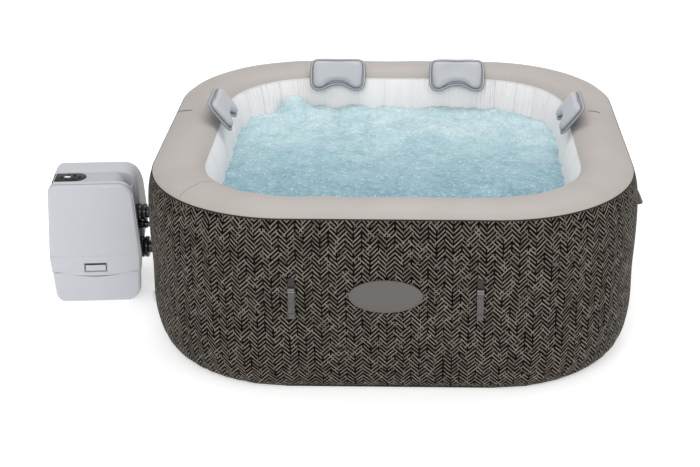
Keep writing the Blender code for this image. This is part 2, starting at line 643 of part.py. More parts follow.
def build_board(looks, pump):
    board = box("control_board", (-0.100, 0.09, 0.27), (-0.098, 0.19, 0.42), looks["board"], pump)
    for name, low, high in (("relay", (-0.0985, 0.10, 0.30), (-0.080, 0.13, 0.33)),
                            ("transformer", (-0.0985, 0.14, 0.36), (-0.070, 0.18, 0.40))):
        combine(board, box(name, low, high, None, pump), "UNION")


def from_pump(x, y):
    """A place in the pump's frame, in the tub's frame."""
    return (PUMP_PLACE[0] + x * math.cos(PUMP_YAW) - y * math.sin(PUMP_YAW),
            PUMP_PLACE[1] + x * math.sin(PUMP_YAW) + y * math.cos(PUMP_YAW))


def build_pipes(looks):
    """Heater and pipes inside the pump unit, up to the couplings."""
    y = COUPLING_Y
    upper, air, lower = UPPER[0], AIR[0], LOWER[0]
    heater = from_pump(*HEATER_PLACE)
    sleeve("heater_tube", 0.020, 0.026, HEATER_LOW, HEATER_HIGH, looks["steel"], (*heater, 0), steps=20)
    pipe("return_pipe", [(JOINT_X - GAP, y, upper), (-1.040, y, upper), (-1.058, y, upper - 0.001),
                         (-1.085, y + 0.002, upper - 0.010), (heater[0] + 0.006, heater[1], 0.315),
                         (*heater, 0.300), (*heater, HEATER_HIGH + GAP)], 0.015, looks["black_plastic"])
    pipe("suction_pipe", [(JOINT_X - GAP, y, lower), (-1.030, y, lower), (-1.044, y, lower - 0.004),
                          (-1.053, y, lower - 0.016), (-1.056, y, 0.100), (-1.059, y + 0.003, 0.076),
                          (-1.067, y + 0.006, 0.064), (-1.0805, y + 0.0075, 0.062)], 0.014,
         looks["black_plastic"])
    pipe("air_pipe", [(JOINT_X - GAP, y, air), (-1.030, y, air), (-1.042, y + 0.004, air),
                      (-1.050, y + 0.016, air), (-1.060, 0.0, 0.300), (-1.085, 0.045, 0.335),
                      (-1.115, 0.064, 0.353), (-1.1555, 0.068, 0.356)], 0.009, looks["black_plastic"])


def make_looks():
    return {
        "print": material("printed_vinyl", (0.075, 0.065, 0.055), 0.6),
        "rim": material("rim_vinyl", (0.50, 0.46, 0.42), 0.5),
        "liner": material("liner_vinyl", (0.80, 0.81, 0.83), 0.45),
        "pillow": material("pillow_vinyl", (0.46, 0.47, 0.50), 0.5),
        "pump": material("pump_plastic", (0.58, 0.60, 0.64), 0.4),
        "panel": material("panel_plastic", (0.03, 0.035, 0.05), 0.25),
        "lens": material("display_lens", (0.6, 0.65, 0.7), 0.1),
        "black_plastic": material("black_plastic", (0.01, 0.01, 0.012), 0.35),
        "grey_plastic": material("grey_plastic", (0.22, 0.22, 0.22), 0.4),
        "white_plastic": material("white_plastic", (0.75, 0.76, 0.77), 0.4),
        "filter": material("filter_paper", (0.80, 0.80, 0.76), 0.9),
        "motor": material("motor_steel", (0.35, 0.36, 0.38), 0.4, 0.8),
        "steel": material("heater_steel", (0.60, 0.61, 0.62), 0.3, 1.0),
        "board": material("circuit_board", (0.03, 0.16, 0.07), 0.5),
    }


def main():
    clear_scene()
    looks = make_looks()
    pump = bpy.data.objects.new("pump_frame", None)
    bpy.context.scene.collection.objects.link(pump)
    pump.location = PUMP_PLACE
    pump.rotation_euler = (0, 0, PUMP_YAW)
    build_skins(looks)
    build_webs(looks)
    build_badge(looks)
    build_straps(looks)
    build_headrests(looks)
    build_valves(looks)
    build_wall_ports(looks)
    build_nuts(looks)
    build_pump_shells(looks, pump)
    build_panel(looks, pump)
    build_front_details(looks, pump)
    build_circulation(looks, pump)
    build_blower(looks, pump)
    build_board(looks, pump)
    build_pipes(looks)


main()
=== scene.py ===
"""The looks of an inflatable hot tub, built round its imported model.

Metres, +Z up, in the model's own frame: the origin is the middle of the tub's underside, -Y is
the front, and the pump unit stands on the -X side.
"""
import json
import math

import bmesh
import bpy
import numpy as np
from mathutils import Matrix, Vector, noise


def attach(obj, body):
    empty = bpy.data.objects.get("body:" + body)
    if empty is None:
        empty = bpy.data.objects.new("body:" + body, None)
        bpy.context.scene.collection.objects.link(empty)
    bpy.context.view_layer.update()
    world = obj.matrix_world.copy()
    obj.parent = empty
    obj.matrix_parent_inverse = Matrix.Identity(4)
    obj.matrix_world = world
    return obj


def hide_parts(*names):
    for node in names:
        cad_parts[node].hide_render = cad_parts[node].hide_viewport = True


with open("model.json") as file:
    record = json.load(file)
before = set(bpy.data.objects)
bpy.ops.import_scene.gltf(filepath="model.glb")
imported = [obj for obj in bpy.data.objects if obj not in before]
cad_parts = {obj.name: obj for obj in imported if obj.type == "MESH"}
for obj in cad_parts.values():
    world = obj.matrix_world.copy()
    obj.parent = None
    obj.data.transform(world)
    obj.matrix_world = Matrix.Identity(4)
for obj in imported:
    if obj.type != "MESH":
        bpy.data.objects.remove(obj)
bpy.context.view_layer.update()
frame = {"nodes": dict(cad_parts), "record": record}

# --- Driving dimensions -------------------------------------------------------------------------
CORE = 0.36              # half-length of each straight side
RUN_RADIUS = 0.53        # corner radius along which the distance round the tub is measured
SKIN = 0.003
INNER_ROUNDER = 0.030    # the bath's corners are rounder than the wall's by this much

# Sections, as (corner radius, height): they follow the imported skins, but the rim is flatter.
WALL_SECTION = [(0.5195, 0.6660), (0.5335, 0.622), (0.5395, 0.560), (0.5405, 0.480), (0.537, 0.360),
                (0.529, 0.240), (0.518, 0.140), (0.5045, 0.067), (0.491, 0.0265), (0.470, 0.0055)]
RIM_SECTION = [(0.5150, 0.6685), (0.508, 0.6755), (0.488, 0.6835), (0.455, 0.6925), (0.420, 0.6960),
               (0.385, 0.6905), (0.352, 0.6765), (0.3335, 0.6560)]
LINER_SECTION = [(0.3320, 0.6540), (0.322, 0.620), (0.309, 0.550), (0.302, 0.450), (0.300, 0.340),
                 (0.302, 0.240), (0.306, 0.140), (0.311, 0.060), (0.318, 0.0112)]
WALL_FACE = 0.9015
FRONT_CENTRE = -0.0135   # the badge and the front straps are centred here

WATER_LEVEL, WATER_BOTTOM = 0.506, 0.395
WATER_RADIUS = 0.3035

PUMP = Matrix.Translation((-1.171, -0.179, 0)) @ Matrix.Rotation(math.radians(4.5), 4, "Z")
PUMP_DEPTH, PUMP_HEIGHT = 0.345, 0.497
PUMP_FOOT, PUMP_MID, PUMP_TOP = 0.166, 0.179, 0.160    # half-widths
PUMP_MID_HEIGHT = 0.195
COUPLING_Y = -0.06

slot_of = {part["node"]: part["material_slot"] for part in frame["record"]["subparts"]}


# --- Material graphs ----------------------------------------------------------------------------
class Field:
    """A number that varies over a surface. Arithmetic on it adds Math nodes to its material."""

    def __init__(self, graph, socket):
        self.graph = graph
        self.socket = socket

    def math(self, operation, *others):
        return self.graph.math(operation, self, *others)

    def __add__(self, other):
        return self.math("ADD", other)

    def __sub__(self, other):
        return self.math("SUBTRACT", other)

    def __rsub__(self, other):
        return self.graph.math("SUBTRACT", other, self)

    def __mul__(self, other):
        return self.math("MULTIPLY", other)

    def __truediv__(self, other):
        return self.math("DIVIDE", other)

    __radd__ = __add__
    __rmul__ = __mul__

    def step(self, low, high):
        """0 below low, 1 above high, smooth between them. It falls when high is the smaller."""
        node = self.graph.node("ShaderNodeMapRange", interpolation_type="SMOOTHSTEP")
        for name, value in (("Value", self), ("From Min", low), ("From Max", high)):
            self.graph.feed(node.inputs[name], value)
        return Field(self.graph, node.outputs["Result"])


class Graph:
    """The node tree of one material, with the values of its shader that are the same all over."""

    def __init__(self, name, **uniform):
        self.material = bpy.data.materials.new(name)
        self.material.use_nodes = True
        self.tree = self.material.node_tree
        self.shader = self.tree.nodes["Principled BSDF"]
        for socket, value in uniform.items():
            self.shader.inputs[socket.replace("_", " ")].default_value = value

    def node(self, kind, **settings):
        made = self.tree.nodes.new(kind)
        for key, value in settings.items():
            setattr(made, key, value)
        return made

    def feed(self, socket, value):
        if isinstance(value, Field):
            self.tree.links.new(value.socket, socket)
        else:
            socket.default_value = value

    def math(self, operation, *values):
        node = self.node("ShaderNodeMath", operation=operation)
        for socket, value in zip(node.inputs, values):
            self.feed(socket, value)
        return Field(self, node.outputs[0])

    def place(self):
        """The surface's place in the object's own metres."""
        return Field(self, self.node("ShaderNodeTexCoord").outputs["Object"])

    def place_along(self, axis):
        """One coordinate of the surface's place."""
        parts = self.node("ShaderNodeSeparateXYZ")
        self.feed(parts.inputs["Vector"], self.place())
        return Field(self, parts.outputs[axis])

    def flat(self):
        """The two distances along a printed or pleated skin, in metres."""
        pair = self.node("ShaderNodeUVMap", uv_map="metres")
        parts = self.node("ShaderNodeSeparateXYZ")
        self.tree.links.new(pair.outputs["UV"], parts.inputs["Vector"])
        return Field(self, parts.outputs["X"]), Field(self, parts.outputs["Y"])

    def pair(self, first, second):
        """Two fields as the X and Y of one vector."""
        joined = self.node("ShaderNodeCombineXYZ")
        self.feed(joined.inputs["X"], first)
        self.feed(joined.inputs["Y"], second)
        return Field(self, joined.outputs["Vector"])

    def noise(self, size, detail=2.0, at=None, roughness=0.5):
        """Cloudy noise, from 0 to 1, with grains of about this size in metres."""
        node = self.node("ShaderNodeTexNoise")
        self.feed(node.inputs["Vector"], at or self.place())
        node.inputs["Scale"].default_value = 1 / size
        node.inputs["Detail"].default_value = detail
        node.inputs["Roughness"].default_value = roughness
        return Field(self, node.outputs["Fac"])

    def cells(self, size, feature="F1"):
        """Distance from the middle, or from the edge, of irregular cells of about this size."""
        node = self.node("ShaderNodeTexVoronoi", feature=feature)
        self.feed(node.inputs["Vector"], self.place())
        node.inputs["Scale"].default_value = 1 / size
        return Field(self, node.outputs["Distance"])

    def chance(self, first, second):
        """A random number from 0 to 1 for each pair of whole numbers."""
        node = self.node("ShaderNodeTexWhiteNoise", noise_dimensions="2D")
        self.feed(node.inputs["Vector"], self.pair(first, second))
        return Field(self, node.outputs["Value"])

    def blend(self, factor, first, second):
        """A colour between two colours, either of which may be a field."""
        node = self.node("ShaderNodeMix", data_type="RGBA")
        self.feed(node.inputs[0], factor)
        for socket, value in ((node.inputs[6], first), (node.inputs[7], second)):
            self.feed(socket, value if isinstance(value, Field) else (*value, 1.0))
        return Field(self, node.outputs[2])

    def colour(self, value):
        self.feed(self.shader.inputs["Base Color"], value)

    def rough(self, value):
        self.feed(self.shader.inputs["Roughness"], value)

    def bump(self, *layers):
        """Relief from (height field, depth in metres) layers."""
        under = None
        for height, depth in layers:
            node = self.node("ShaderNodeBump")
            node.inputs["Distance"].default_value = depth
            self.feed(node.inputs["Height"], height)
            if under:
                self.tree.links.new(under, node.inputs["Normal"])
            under = node.outputs["Normal"]
        self.tree.links.new(under, self.shader.inputs["Normal"])


# --- Materials ----------------------------------------------------------------------------------
RUN = 8 * CORE + 2 * math.pi * RUN_RADIUS
CHEVRONS = 111                       # pairs of slanted columns round the wall
COLUMN = RUN / CHEVRONS / 2
STROKE_PITCH = 0.0164                # height from one stroke to the next
STROKE_SLOPE = 1.02                  # rise of a stroke for its run
STROKE_START, STROKE_OVERLAP = 0.12, 0.66   # in columns: most stop short, a few run far over


def herringbone(graph):
    """Printed slanted strokes in columns, whose ends lie over and under their neighbours'.

    Returns the light of the stroke on top and how far strokes cover the spot, both 0 in the gaps,
    and the distances round and up the skin.
    """
    run, height = graph.flat()
    wander = graph.noise(0.05, 1.0, graph.pair(run, height))
    across = run / COLUMN + (wander - 0.5) * 0.10
    column = across.math("FLOOR")
    inside = across - column

    def strokes(offset):
        mine = column + offset
        way = 1 - 2 * mine.math("FLOORED_MODULO", 2.0)
        place = inside - offset
        along = height / STROKE_PITCH + way * (place - 0.5) * (COLUMN * STROKE_SLOPE / STROKE_PITCH)
        along = along + (wander - 0.5) * 0.35
        number = along.math("FLOOR")
        off_middle = ((along - number) * 2 - 1).math("ABSOLUTE")
        luck = graph.chance(mine, number)
        other_luck = graph.chance(number + 0.5, mine)
        start = STROKE_START - STROKE_OVERLAP * luck * luck * luck
        end = 1 - STROKE_START + STROKE_OVERLAP * other_luck * other_luck * other_luck
        reach = place.step(start - 0.03, start + 0.03) * place.step(end + 0.03, end - 0.03)
        body = off_middle.step(0.49, 0.28) * reach
        tone = 0.50 + 0.50 * (luck * 7.3).math("FRACT")
        return body, body * tone

    covered, light = strokes(0)
    for offset in (-1, 1):
        body, shine = strokes(offset)
        light = light * (1 - body) + shine
        covered = covered.math("MAXIMUM", body)
    return light, covered, run, height


def printed_vinyl():
    """The wall's print: warm strokes with worn patches over a nearly black ground."""
    graph = Graph("woven_print", Specular_IOR_Level=0.03)
    light, covered, run, height = herringbone(graph)
    fibres = graph.noise(0.0016, 2.0, graph.pair(run, height))
    patches = graph.noise(0.022, 2.0, graph.pair(run, height), 0.7)
    light = light * (0.78 + 0.44 * fibres) * (0.60 + 0.60 * patches.step(0.25, 0.62))
    warm = graph.noise(0.06, 1.0)
    stroke = graph.blend(warm.step(0.4, 0.7), (0.196, 0.173, 0.147), (0.187, 0.159, 0.129))
    ground = graph.blend(patches.step(0.35, 0.75), (0.0020, 0.0014, 0.0010), (0.0060, 0.0048, 0.0038))
    graph.colour(graph.blend(light, ground, stroke))
    graph.rough(0.62 - 0.14 * light)
    graph.bump((graph.noise(0.11, 2.0), 0.0025), (covered, 0.0005), (fibres, 0.0001))
    return graph.material


def vinyl(name, colour, shade, roughness, grain=0.0012, tint=None, relief=0.00006):
    """Smooth sheet vinyl: faint clouds of shade, a fine grain and slightly uneven gloss."""
    graph = Graph(name, Specular_IOR_Level=0.45)
    clouds = graph.noise(0.16, 3.0)
    base = graph.blend(clouds.step(0.3, 0.7), shade, colour)
    if tint:
        patches = graph.noise(0.05, 2.0)
        base = graph.blend(patches.step(0.45, 0.8) * 0.5, base, tint)
    graph.colour(base)
    graph.rough(roughness + 0.10 * graph.noise(0.02, 3.0))
    graph.bump((graph.noise(0.09, 2.0), 0.0012), (graph.noise(grain, 2.0), relief))
    return graph.material


def plastic(name, colour, roughness, grain=0.0008, relief=0.00004, wear=0.15, metallic=0.0):
    """Moulded plastic: a fine moulding texture, uneven gloss and lighter rubbed patches."""
    graph = Graph(name, Metallic=metallic)
    rubbed = graph.noise(0.035, 4.0, roughness=0.65).step(0.55, 0.85)
    lighter = tuple(min(1.0, c * (1 + wear) + 0.01 * wear) for c in colour)
    graph.colour(graph.blend(rubbed, colour, lighter))
    graph.rough(roughness + 0.10 * rubbed)
    graph.bump((graph.noise(grain, 2.0), relief))
    return graph.material


def webbing_material(name, shade):
    """Flat woven strap with a slight gloss: fine cross ribs and two edge threads."""
    graph = Graph(name, Specular_IOR_Level=0.30)
    run, height = graph.flat()
    ribs = (height * (2 * math.pi / 0.0017)).math("SINE")
    threads = (run * (2 * math.pi / 0.0024)).math("SINE")
    weave = ribs * threads * 0.5 + 0.5
    soil = graph.noise(0.02, 3.0)
    groove, thread, dull = (tuple(shade * part for part in tone) for tone in (
        (0.068, 0.065, 0.065), (0.118, 0.112, 0.111), (0.055, 0.050, 0.049)))
    graph.colour(graph.blend(soil.step(0.3, 0.8) * 0.5, graph.blend(weave, groove, thread), dull))
    graph.rough(0.34 + 0.12 * weave)
    graph.bump((weave, 0.00025))
    return graph.material


def fold_material():
    """The dark, unprinted back of the wall's vinyl, seen in its folds."""
    graph = Graph("wall_fold_skin", Specular_IOR_Level=0.06)
    dust = graph.noise(0.012, 3.0)
    graph.colour(graph.blend(dust, (0.022, 0.018, 0.015), (0.045, 0.039, 0.034)))
    graph.rough(0.60 + 0.20 * dust)
    graph.bump((dust, 0.0003))
    return graph.material


def water_material():
    """Aerated water: pale blue with white froth in patches, streaks and single bubbles, paler and whiter
    towards the back, partly from more froth and partly as painted reflection.
    """
    graph = Graph("aerated_water", Specular_IOR_Level=0.5, IOR=1.33)
    drift = graph.noise(0.09, 4.0, roughness=0.65)
    froth = graph.noise(0.020, 5.0, roughness=0.75)
    bubbles = graph.cells(0.008)
    specks = bubbles.step(0.34, 0.10) * froth.step(0.47, 0.60)
    fizz = graph.cells(0.0125).step(0.30, 0.14) * graph.noise(0.05, 3.0).step(0.46, 0.62)
    streak = (froth - 0.5).math("ABSOLUTE").step(0.075, 0.0)
    # Lighter colour and more froth towards the back: partly froth, partly painted reflection.
    back_froth_and_reflection = graph.place_along("Y").step(-0.40, 0.66)
    blue = graph.blend(drift.step(0.30, 0.70), (0.150, 0.318, 0.402), (0.205, 0.388, 0.468))
    light_blue = graph.blend(drift.step(0.30, 0.70), (0.330, 0.530, 0.592), (0.520, 0.700, 0.740))
    deep = graph.blend(back_froth_and_reflection, blue, light_blue)
    pale = graph.blend(froth.step(0.46, 0.74) * 0.8, deep, (0.510, 0.685, 0.740))
    spread = 0.55 + 1.9 * back_froth_and_reflection * back_froth_and_reflection * back_froth_and_reflection
    wide = graph.noise(0.16, 2.0).step(0.50, 0.66) * 0.10
    white = streak * 0.16 + specks * 0.62 + froth.step(0.60, 0.78) * 0.7 + wide
    white = (white * spread + fizz * 0.75).math("MINIMUM", 1.0)
    graph.colour(graph.blend(white, pale, (0.830, 0.900, 0.920)))
    graph.rough(0.10 + 0.35 * white)
    graph.bump((froth, 0.006), (graph.noise(0.006, 3.0, roughness=0.6), 0.0012), (specks, 0.0012))
    return graph.material


def filter_material():
    """Pale matted fleece."""
    graph = Graph("filter_fleece", Roughness=0.9)
    fibres = graph.noise(0.0009, 4.0, roughness=0.7)
    graph.colour(graph.blend(fibres, (0.70, 0.70, 0.66), (0.86, 0.86, 0.83)))
    graph.bump((fibres, 0.0003))
    return graph.material


def board_material():
    """A green circuit board with paler tracks."""
    graph = Graph("board", Specular_IOR_Level=0.5)
    tracks = graph.cells(0.006, feature="DISTANCE_TO_EDGE").step(0.10, 0.04)
    graph.colour(graph.blend(tracks, (0.012, 0.10, 0.035), (0.06, 0.24, 0.08)))
    graph.rough(0.35 + 0.2 * tracks)
    graph.bump((tracks, 0.0002))
    return graph.material


def lens_material():
    """Clear lens over a pale display, lighter in cloudy patches."""
    graph = Graph("display", Coat_Weight=0.6, Coat_Roughness=0.05)
    glow = graph.noise(0.012, 1.0)
    graph.colour(graph.blend(glow.step(0.35, 0.65), (0.62, 0.68, 0.70), (0.88, 0.91, 0.92)))
    graph.rough(0.10 + 0.08 * glow)
    return graph.material


def panel_material():
    """Gloss panel with fine dust."""
    graph = Graph("panel_gloss", Specular_IOR_Level=0.3)
    dust = graph.cells(0.004).step(0.16, 0.02) * 0.4
    graph.colour(graph.blend(dust, (0.007, 0.0075, 0.010), (0.030, 0.031, 0.035)))
    graph.rough(0.22 + 0.25 * graph.noise(0.01, 3.0))
    graph.bump((graph.noise(0.0015, 2.0), 0.00003))
    return graph.material


looks = {
    "printed_vinyl": printed_vinyl(),
    "rim_vinyl": vinyl("rim_skin", (0.430, 0.398, 0.374), (0.408, 0.377, 0.354), 0.46),
    "liner_vinyl": vinyl("liner_skin", (0.870, 0.842, 0.838), (0.835, 0.808, 0.806), 0.38,
                         tint=(0.82, 0.79, 0.81)),
    "base_vinyl": vinyl("base_skin", (0.060, 0.056, 0.052), (0.045, 0.042, 0.040), 0.5),
    "pillow_vinyl": vinyl("pillow_skin", (0.480, 0.492, 0.520), (0.440, 0.452, 0.482), 0.42,
                          grain=0.0018, relief=0.00022),
    "strap_plastic": plastic("buckle", (0.080, 0.076, 0.076), 0.26, wear=0.5),
    "grey_plastic": plastic("grey_moulding", (0.092, 0.082, 0.077), 0.46, wear=0.1),
    "white_plastic": plastic("white_moulding", (0.76, 0.77, 0.78), 0.32, wear=0.08),
    "black_plastic": plastic("black_moulding", (0.004, 0.004, 0.005), 0.18, wear=0.8),
    "pump_plastic": plastic("pump_shell", (0.525, 0.540, 0.572), 0.38, relief=0.00006, wear=0.05),
    "panel_plastic": panel_material(),
    "display_lens": lens_material(),
    "filter_paper": filter_material(),
    "motor_metal": plastic("motor_paint", (0.10, 0.11, 0.12), 0.38, wear=0.6, metallic=0.7),
    "heater_steel": plastic("heater_steel", (0.60, 0.60, 0.61), 0.26, wear=0.1, metallic=1.0),
    "circuit_board": board_material(),
}
webbing = webbing_material("strap_webbing", 1.0)
dark_webbing = webbing_material("anchor_webbing", 0.30)
# A lighter grey than the strap plastic, which paints the highlights on the buckle's bars.
buckle_highlit_plastic = plastic("buckle_gloss_painted_highlight", (0.260, 0.252, 0.250), 0.22, wear=0.3)
aerated_water = water_material()
# Darker than the pillow: the piping's own grey, deepened as painted shade under the pillows' edges.
piping = plastic("piping", (0.180, 0.182, 0.198), 0.36, wear=0.2)
# A darker copy of the pump plastic for the channel: painted shade.
shaded_channel_plastic = plastic("shaded_channel_plastic", (0.450, 0.460, 0.488), 0.42, wear=0.05)
# Near-black for the inside of narrow gaps and slits: painted shadow.
painted_gap_shadow = plastic("painted_gap_shadow", (0.020, 0.020, 0.022), 0.55, wear=0.3)
hood_plastic = plastic("hood_plastic", (0.050, 0.040, 0.034), 0.38, wear=0.3)
fold_vinyl = fold_material()
# Dark beads for the rim's creases and a darker copy of the rim vinyl for its weld: painted shade.
crease_shade = plastic("crease_shade", (0.110, 0.095, 0.085), 0.55, wear=0.2)
rim_weld_shade = plastic("rim_weld_shade", (0.320, 0.292, 0.272), 0.5, wear=0.1)

for node, item in frame["nodes"].items():
    item.data.materials.clear()
    item.data.materials.append(looks[slot_of[node]])


# --- Meshes -------------------------------------------------------------------------------------
def put(name, data):
    """A new object in the scene."""
    item = bpy.data.objects.new(name, data)
    bpy.context.scene.collection.objects.link(item)
    return item


def edited(mesh, change):
    """A mesh changed in place by change(its bmesh)."""
    data = bmesh.new()
    data.from_mesh(mesh)
    change(data)
    data.to_mesh(mesh)
    data.free()
    return mesh


def evaluated(item):
    """A copy of an item's mesh with its modifiers applied."""
    return bpy.data.meshes.new_from_object(item.evaluated_get(bpy.context.evaluated_depsgraph_get()))


def piece(name, mesh, body, slot, look=None, stands_for=(), sharp=35, at=None):
    """Put a mesh in the scene as a piece that rides on a body, in a slot's material."""
    edited(mesh, lambda data: bmesh.ops.recalc_face_normals(data, faces=data.faces))
    mesh.shade_smooth()
    mesh.set_sharp_from_angle(angle=math.radians(sharp))
    mesh.materials.clear()
    mesh.materials.append(look or looks[slot])
    item = put(name, mesh)
    if at is not None:
        mesh.transform(at)
    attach(item, body)
    if stands_for:
        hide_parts(*stands_for)
    return item


def unit(vectors):
    return vectors / np.linalg.norm(vectors, axis=1)[:, None]


def distances(points):
    """Distance of each point from the first, measured along the line."""
    return np.concatenate([[0], np.cumsum(np.linalg.norm(np.diff(points, axis=0), axis=1))])


def circle(count):
    """Evenly spaced angles of a full turn."""
    return 2 * math.pi * np.arange(count) / count


def upright(outline, depth):
    """An outline of (x, z) points, stood up at a depth y."""
    return np.stack([outline[:, 0], depth + 0 * outline[:, 0], outline[:, 1]], axis=1)


def grid_mesh(name, points, wrap=(False, False), metres=None, caps=False):
    """Quads over points[row, column], closed along rows or columns where wrap says so.

    metres, of the same shape with one more row or column where it wraps, lays the skin out flat.
    """
    rows, columns = points.shape[:2]
    index = np.arange(rows * columns).reshape(rows, columns)
    if wrap[0]:
        index = np.vstack([index, index[:1]])
    if wrap[1]:
        index = np.hstack([index, index[:, :1]])
    corners = np.stack([index[:-1, :-1], index[:-1, 1:], index[1:, 1:], index[1:, :-1]], axis=-1)
    faces = corners.reshape(-1, 4).tolist()
    if caps:
        faces += [list(range(columns))[::-1], list(range((rows - 1) * columns, rows * columns))]
    mesh = bpy.data.meshes.new(name)
    mesh.from_pydata(points.reshape(-1, 3).tolist(), [], faces)
    if metres is not None:
        flat = np.stack([metres[:-1, :-1], metres[:-1, 1:], metres[1:, 1:], metres[1:, :-1]], axis=2)
        layer = mesh.uv_layers.new(name="metres")
        laid = np.zeros((len(layer.data), 2))
        laid[:flat.size // 2] = flat.reshape(-1, 2)
        layer.data.foreach_set("uv", laid.ravel())
    return mesh


def smooth_line(points, count):
    """Evenly spaced points on a smooth curve through these points."""
    knots = np.array(points, float)
    ends = np.vstack([2 * knots[0] - knots[1], knots, 2 * knots[-1] - knots[-2]])
    fine = []
    for i in range(1, len(ends) - 2):
        a, b, c, d = ends[i - 1:i + 3]
        for t in np.arange(0, 1, 0.05):
            fine.append(0.5 * (2 * b + (c - a) * t + (2 * a - 5 * b + 4 * c - d) * t ** 2
                               + (3 * b - a - 3 * c + d) * t ** 3))
    fine = np.array(fine + [knots[-1]])
    run = distances(fine)
    even = np.linspace(0, run[-1], count)
    return np.stack([np.interp(even, run, fine[:, k]) for k in range(knots.shape[1])], axis=1)


def ease(value, low, high):
    """0 below low, 1 above high and smooth between, for arrays. It falls when high is the smaller."""
    t = np.clip((np.asarray(value, float) - low) / (high - low), 0, 1)
    return t * t * (3 - 2 * t)


def ripple(run, height, size, seed, count=9):
    """Smooth irregular waves of about this size round the tub, which close on themselves."""
    draw = np.random.default_rng(seed)
    total = np.zeros(np.broadcast(run, height).shape)
    for _ in range(count):
        turns = max(1, round(RUN / size * draw.uniform(0.6, 1.6)))
        total = total + np.sin(2 * math.pi * (turns * run / RUN + draw.uniform(0, 1))
                               + height * draw.normal(0, 3.0 / size))
    return total / math.sqrt(count)


def stations(spacing, step_radius=RUN_RADIUS):
    """Places round the tub: unit offsets of the corner centre, the outward angle and the run."""
    straight = round(2 * CORE / spacing)
    bend = round(math.pi / 2 * step_radius / spacing)
    found = []
    run = 0.0
    for quarter in range(4):
        turn = quarter * math.pi / 2
        ct, st = round(math.cos(turn)), round(math.sin(turn))
        for i in range(straight):
            along = 2 * i / straight - 1
            found.append((ct - st * along, st + ct * along, turn, run + 2 * CORE * i / straight))
        run += 2 * CORE
        for i in range(bend):
            swing = math.pi / 2 * i / bend
            found.append((ct - st, st + ct, turn + swing, run + RUN_RADIUS * swing))
        run += RUN_RADIUS * math.pi / 2
    return np.array(found)


def around(spots, radius, height, rounder):
    """Points round the tub at corner radii and heights: rounder moves the corner centres inwards."""
    radius = radius + rounder
    core = CORE - rounder
    x = core * spots[:, 0] + radius * np.cos(spots[:, 2])
    y = core * spots[:, 1] + radius * np.sin(spots[:, 2])
    return np.stack([x, y, height + 0 * x], axis=-1)


def ring(name, section, count, spacing, slot, change, rounder=0.0, stands_for=()):
    """A closed skin round the tub, from its section.

    change(run, radius, height) returns how far the skin moves out and up, and rounder is how much
    rounder its corners are, as a number or as a function of the radius.
    """
    line = smooth_line(section, count)
    slope = np.gradient(line, axis=0)
    normal = unit(np.stack([slope[:, 1], -slope[:, 0]], axis=1))
    back = (line + SKIN * normal)[::-4]
    spots = stations(spacing)
    run = spots[:, 3]
    rows = []
    for radius, height in np.vstack([line, back]):
        out, up = change(run, radius, height)
        soft = rounder(radius) if callable(rounder) else rounder
        rows.append(around(spots, radius + out, height + up, soft))
    points = np.array(rows)
    laid = distances(line)
    metres = np.zeros((len(points) + 1, len(run) + 1, 2))
    metres[..., 0] = np.append(run, RUN)[None, :]
    metres[:count, :, 1] = (laid[-1] - laid)[:, None]
    mesh = grid_mesh(name, points, (True, True), metres)
    return piece(name, mesh, "tub", slot, stands_for=stands_for, sharp=60)


def bead_rows(path, side, over, radius, sides):
    """Circles about each point of a path, in the plane of two directions."""
    turns = circle(sides)[None, :, None]
    return path[:, None, :] + radius * (np.cos(turns) * side[:, None, :] + np.sin(turns) * over[:, None, :])


def tube(name, path, radius, sides=10, closed=True):
    """A round bead along points, closed on itself or with flat ends."""
    path = np.array(path, float)
    if closed:
        ahead = np.roll(path, -1, axis=0) - np.roll(path, 1, axis=0)
    else:
        ahead = np.gradient(path, axis=0)
    ahead = unit(ahead)
    side = np.cross(ahead, [0.0, 0.0, 1.0])
    plumb = np.linalg.norm(side, axis=1) < 1e-4
    side[plumb] = np.cross(ahead[plumb], [1.0, 0.0, 0.0])
    side = unit(side)
    rows = bead_rows(path, side, np.cross(side, ahead), radius, sides)
    return grid_mesh(name, rows, (closed, True), caps=not closed)


def flat_bead(name, path, radius, sides=8):
    """A bead along a closed path that lies in a plane of X and Z."""
    ahead = unit(np.roll(path, -1, axis=0) - np.roll(path, 1, axis=0))
    over = np.tile([0.0, 1.0, 0.0], (len(path), 1))
    return grid_mesh(name, bead_rows(path, np.cross(ahead, over), over, radius, sides), (True, True))


def turned_mesh(name, profile, sides=48, ribs=None):
    """A closed profile of (radius, height) turned about Z. ribs(angle, radius, height) changes radii."""
    turns = circle(sides)
    rows = []
    for radius, height in profile:
        reach = radius + (ribs(turns, radius, height) if ribs else 0 * turns)
        rows.append(np.stack([reach * np.cos(turns), reach * np.sin(turns), height + 0 * turns], axis=-1))
    solid = profile[0][0] < 1e-4
    mesh = grid_mesh(name, np.array(rows), (not solid, True))
    if solid:
        edited(mesh, lambda data: bmesh.ops.remove_doubles(data, verts=data.verts, dist=1e-5))
    return mesh


# --- Camera, light and floor ----------------------------------------------------------------------
LIGHTS = [("key", (-0.7, -5.2, 3.6), 0.4, 3.4, 118),      # name, place, height aimed at, size, watts
          ("fill", (3.6, -3.4, 2.4), 0.4, 2.6, 20),
          ("top", (0.3, 1.0, 4.4), 0.6, 3.0, 72)]


def add_camera():
    data = bpy.data.cameras.new("camera")
    data.lens = 75.0
    data.shift_x, data.shift_y = -0.0605, -0.0356
    camera = put("camera", data)
    camera.location = (0.0954, -5.3519, 2.6009)
    camera.rotation_euler = (math.radians(67.07), 0.0, 0.0194)
    bpy.context.scene.camera = camera
    bpy.context.scene.view_settings.view_transform = "Standard"


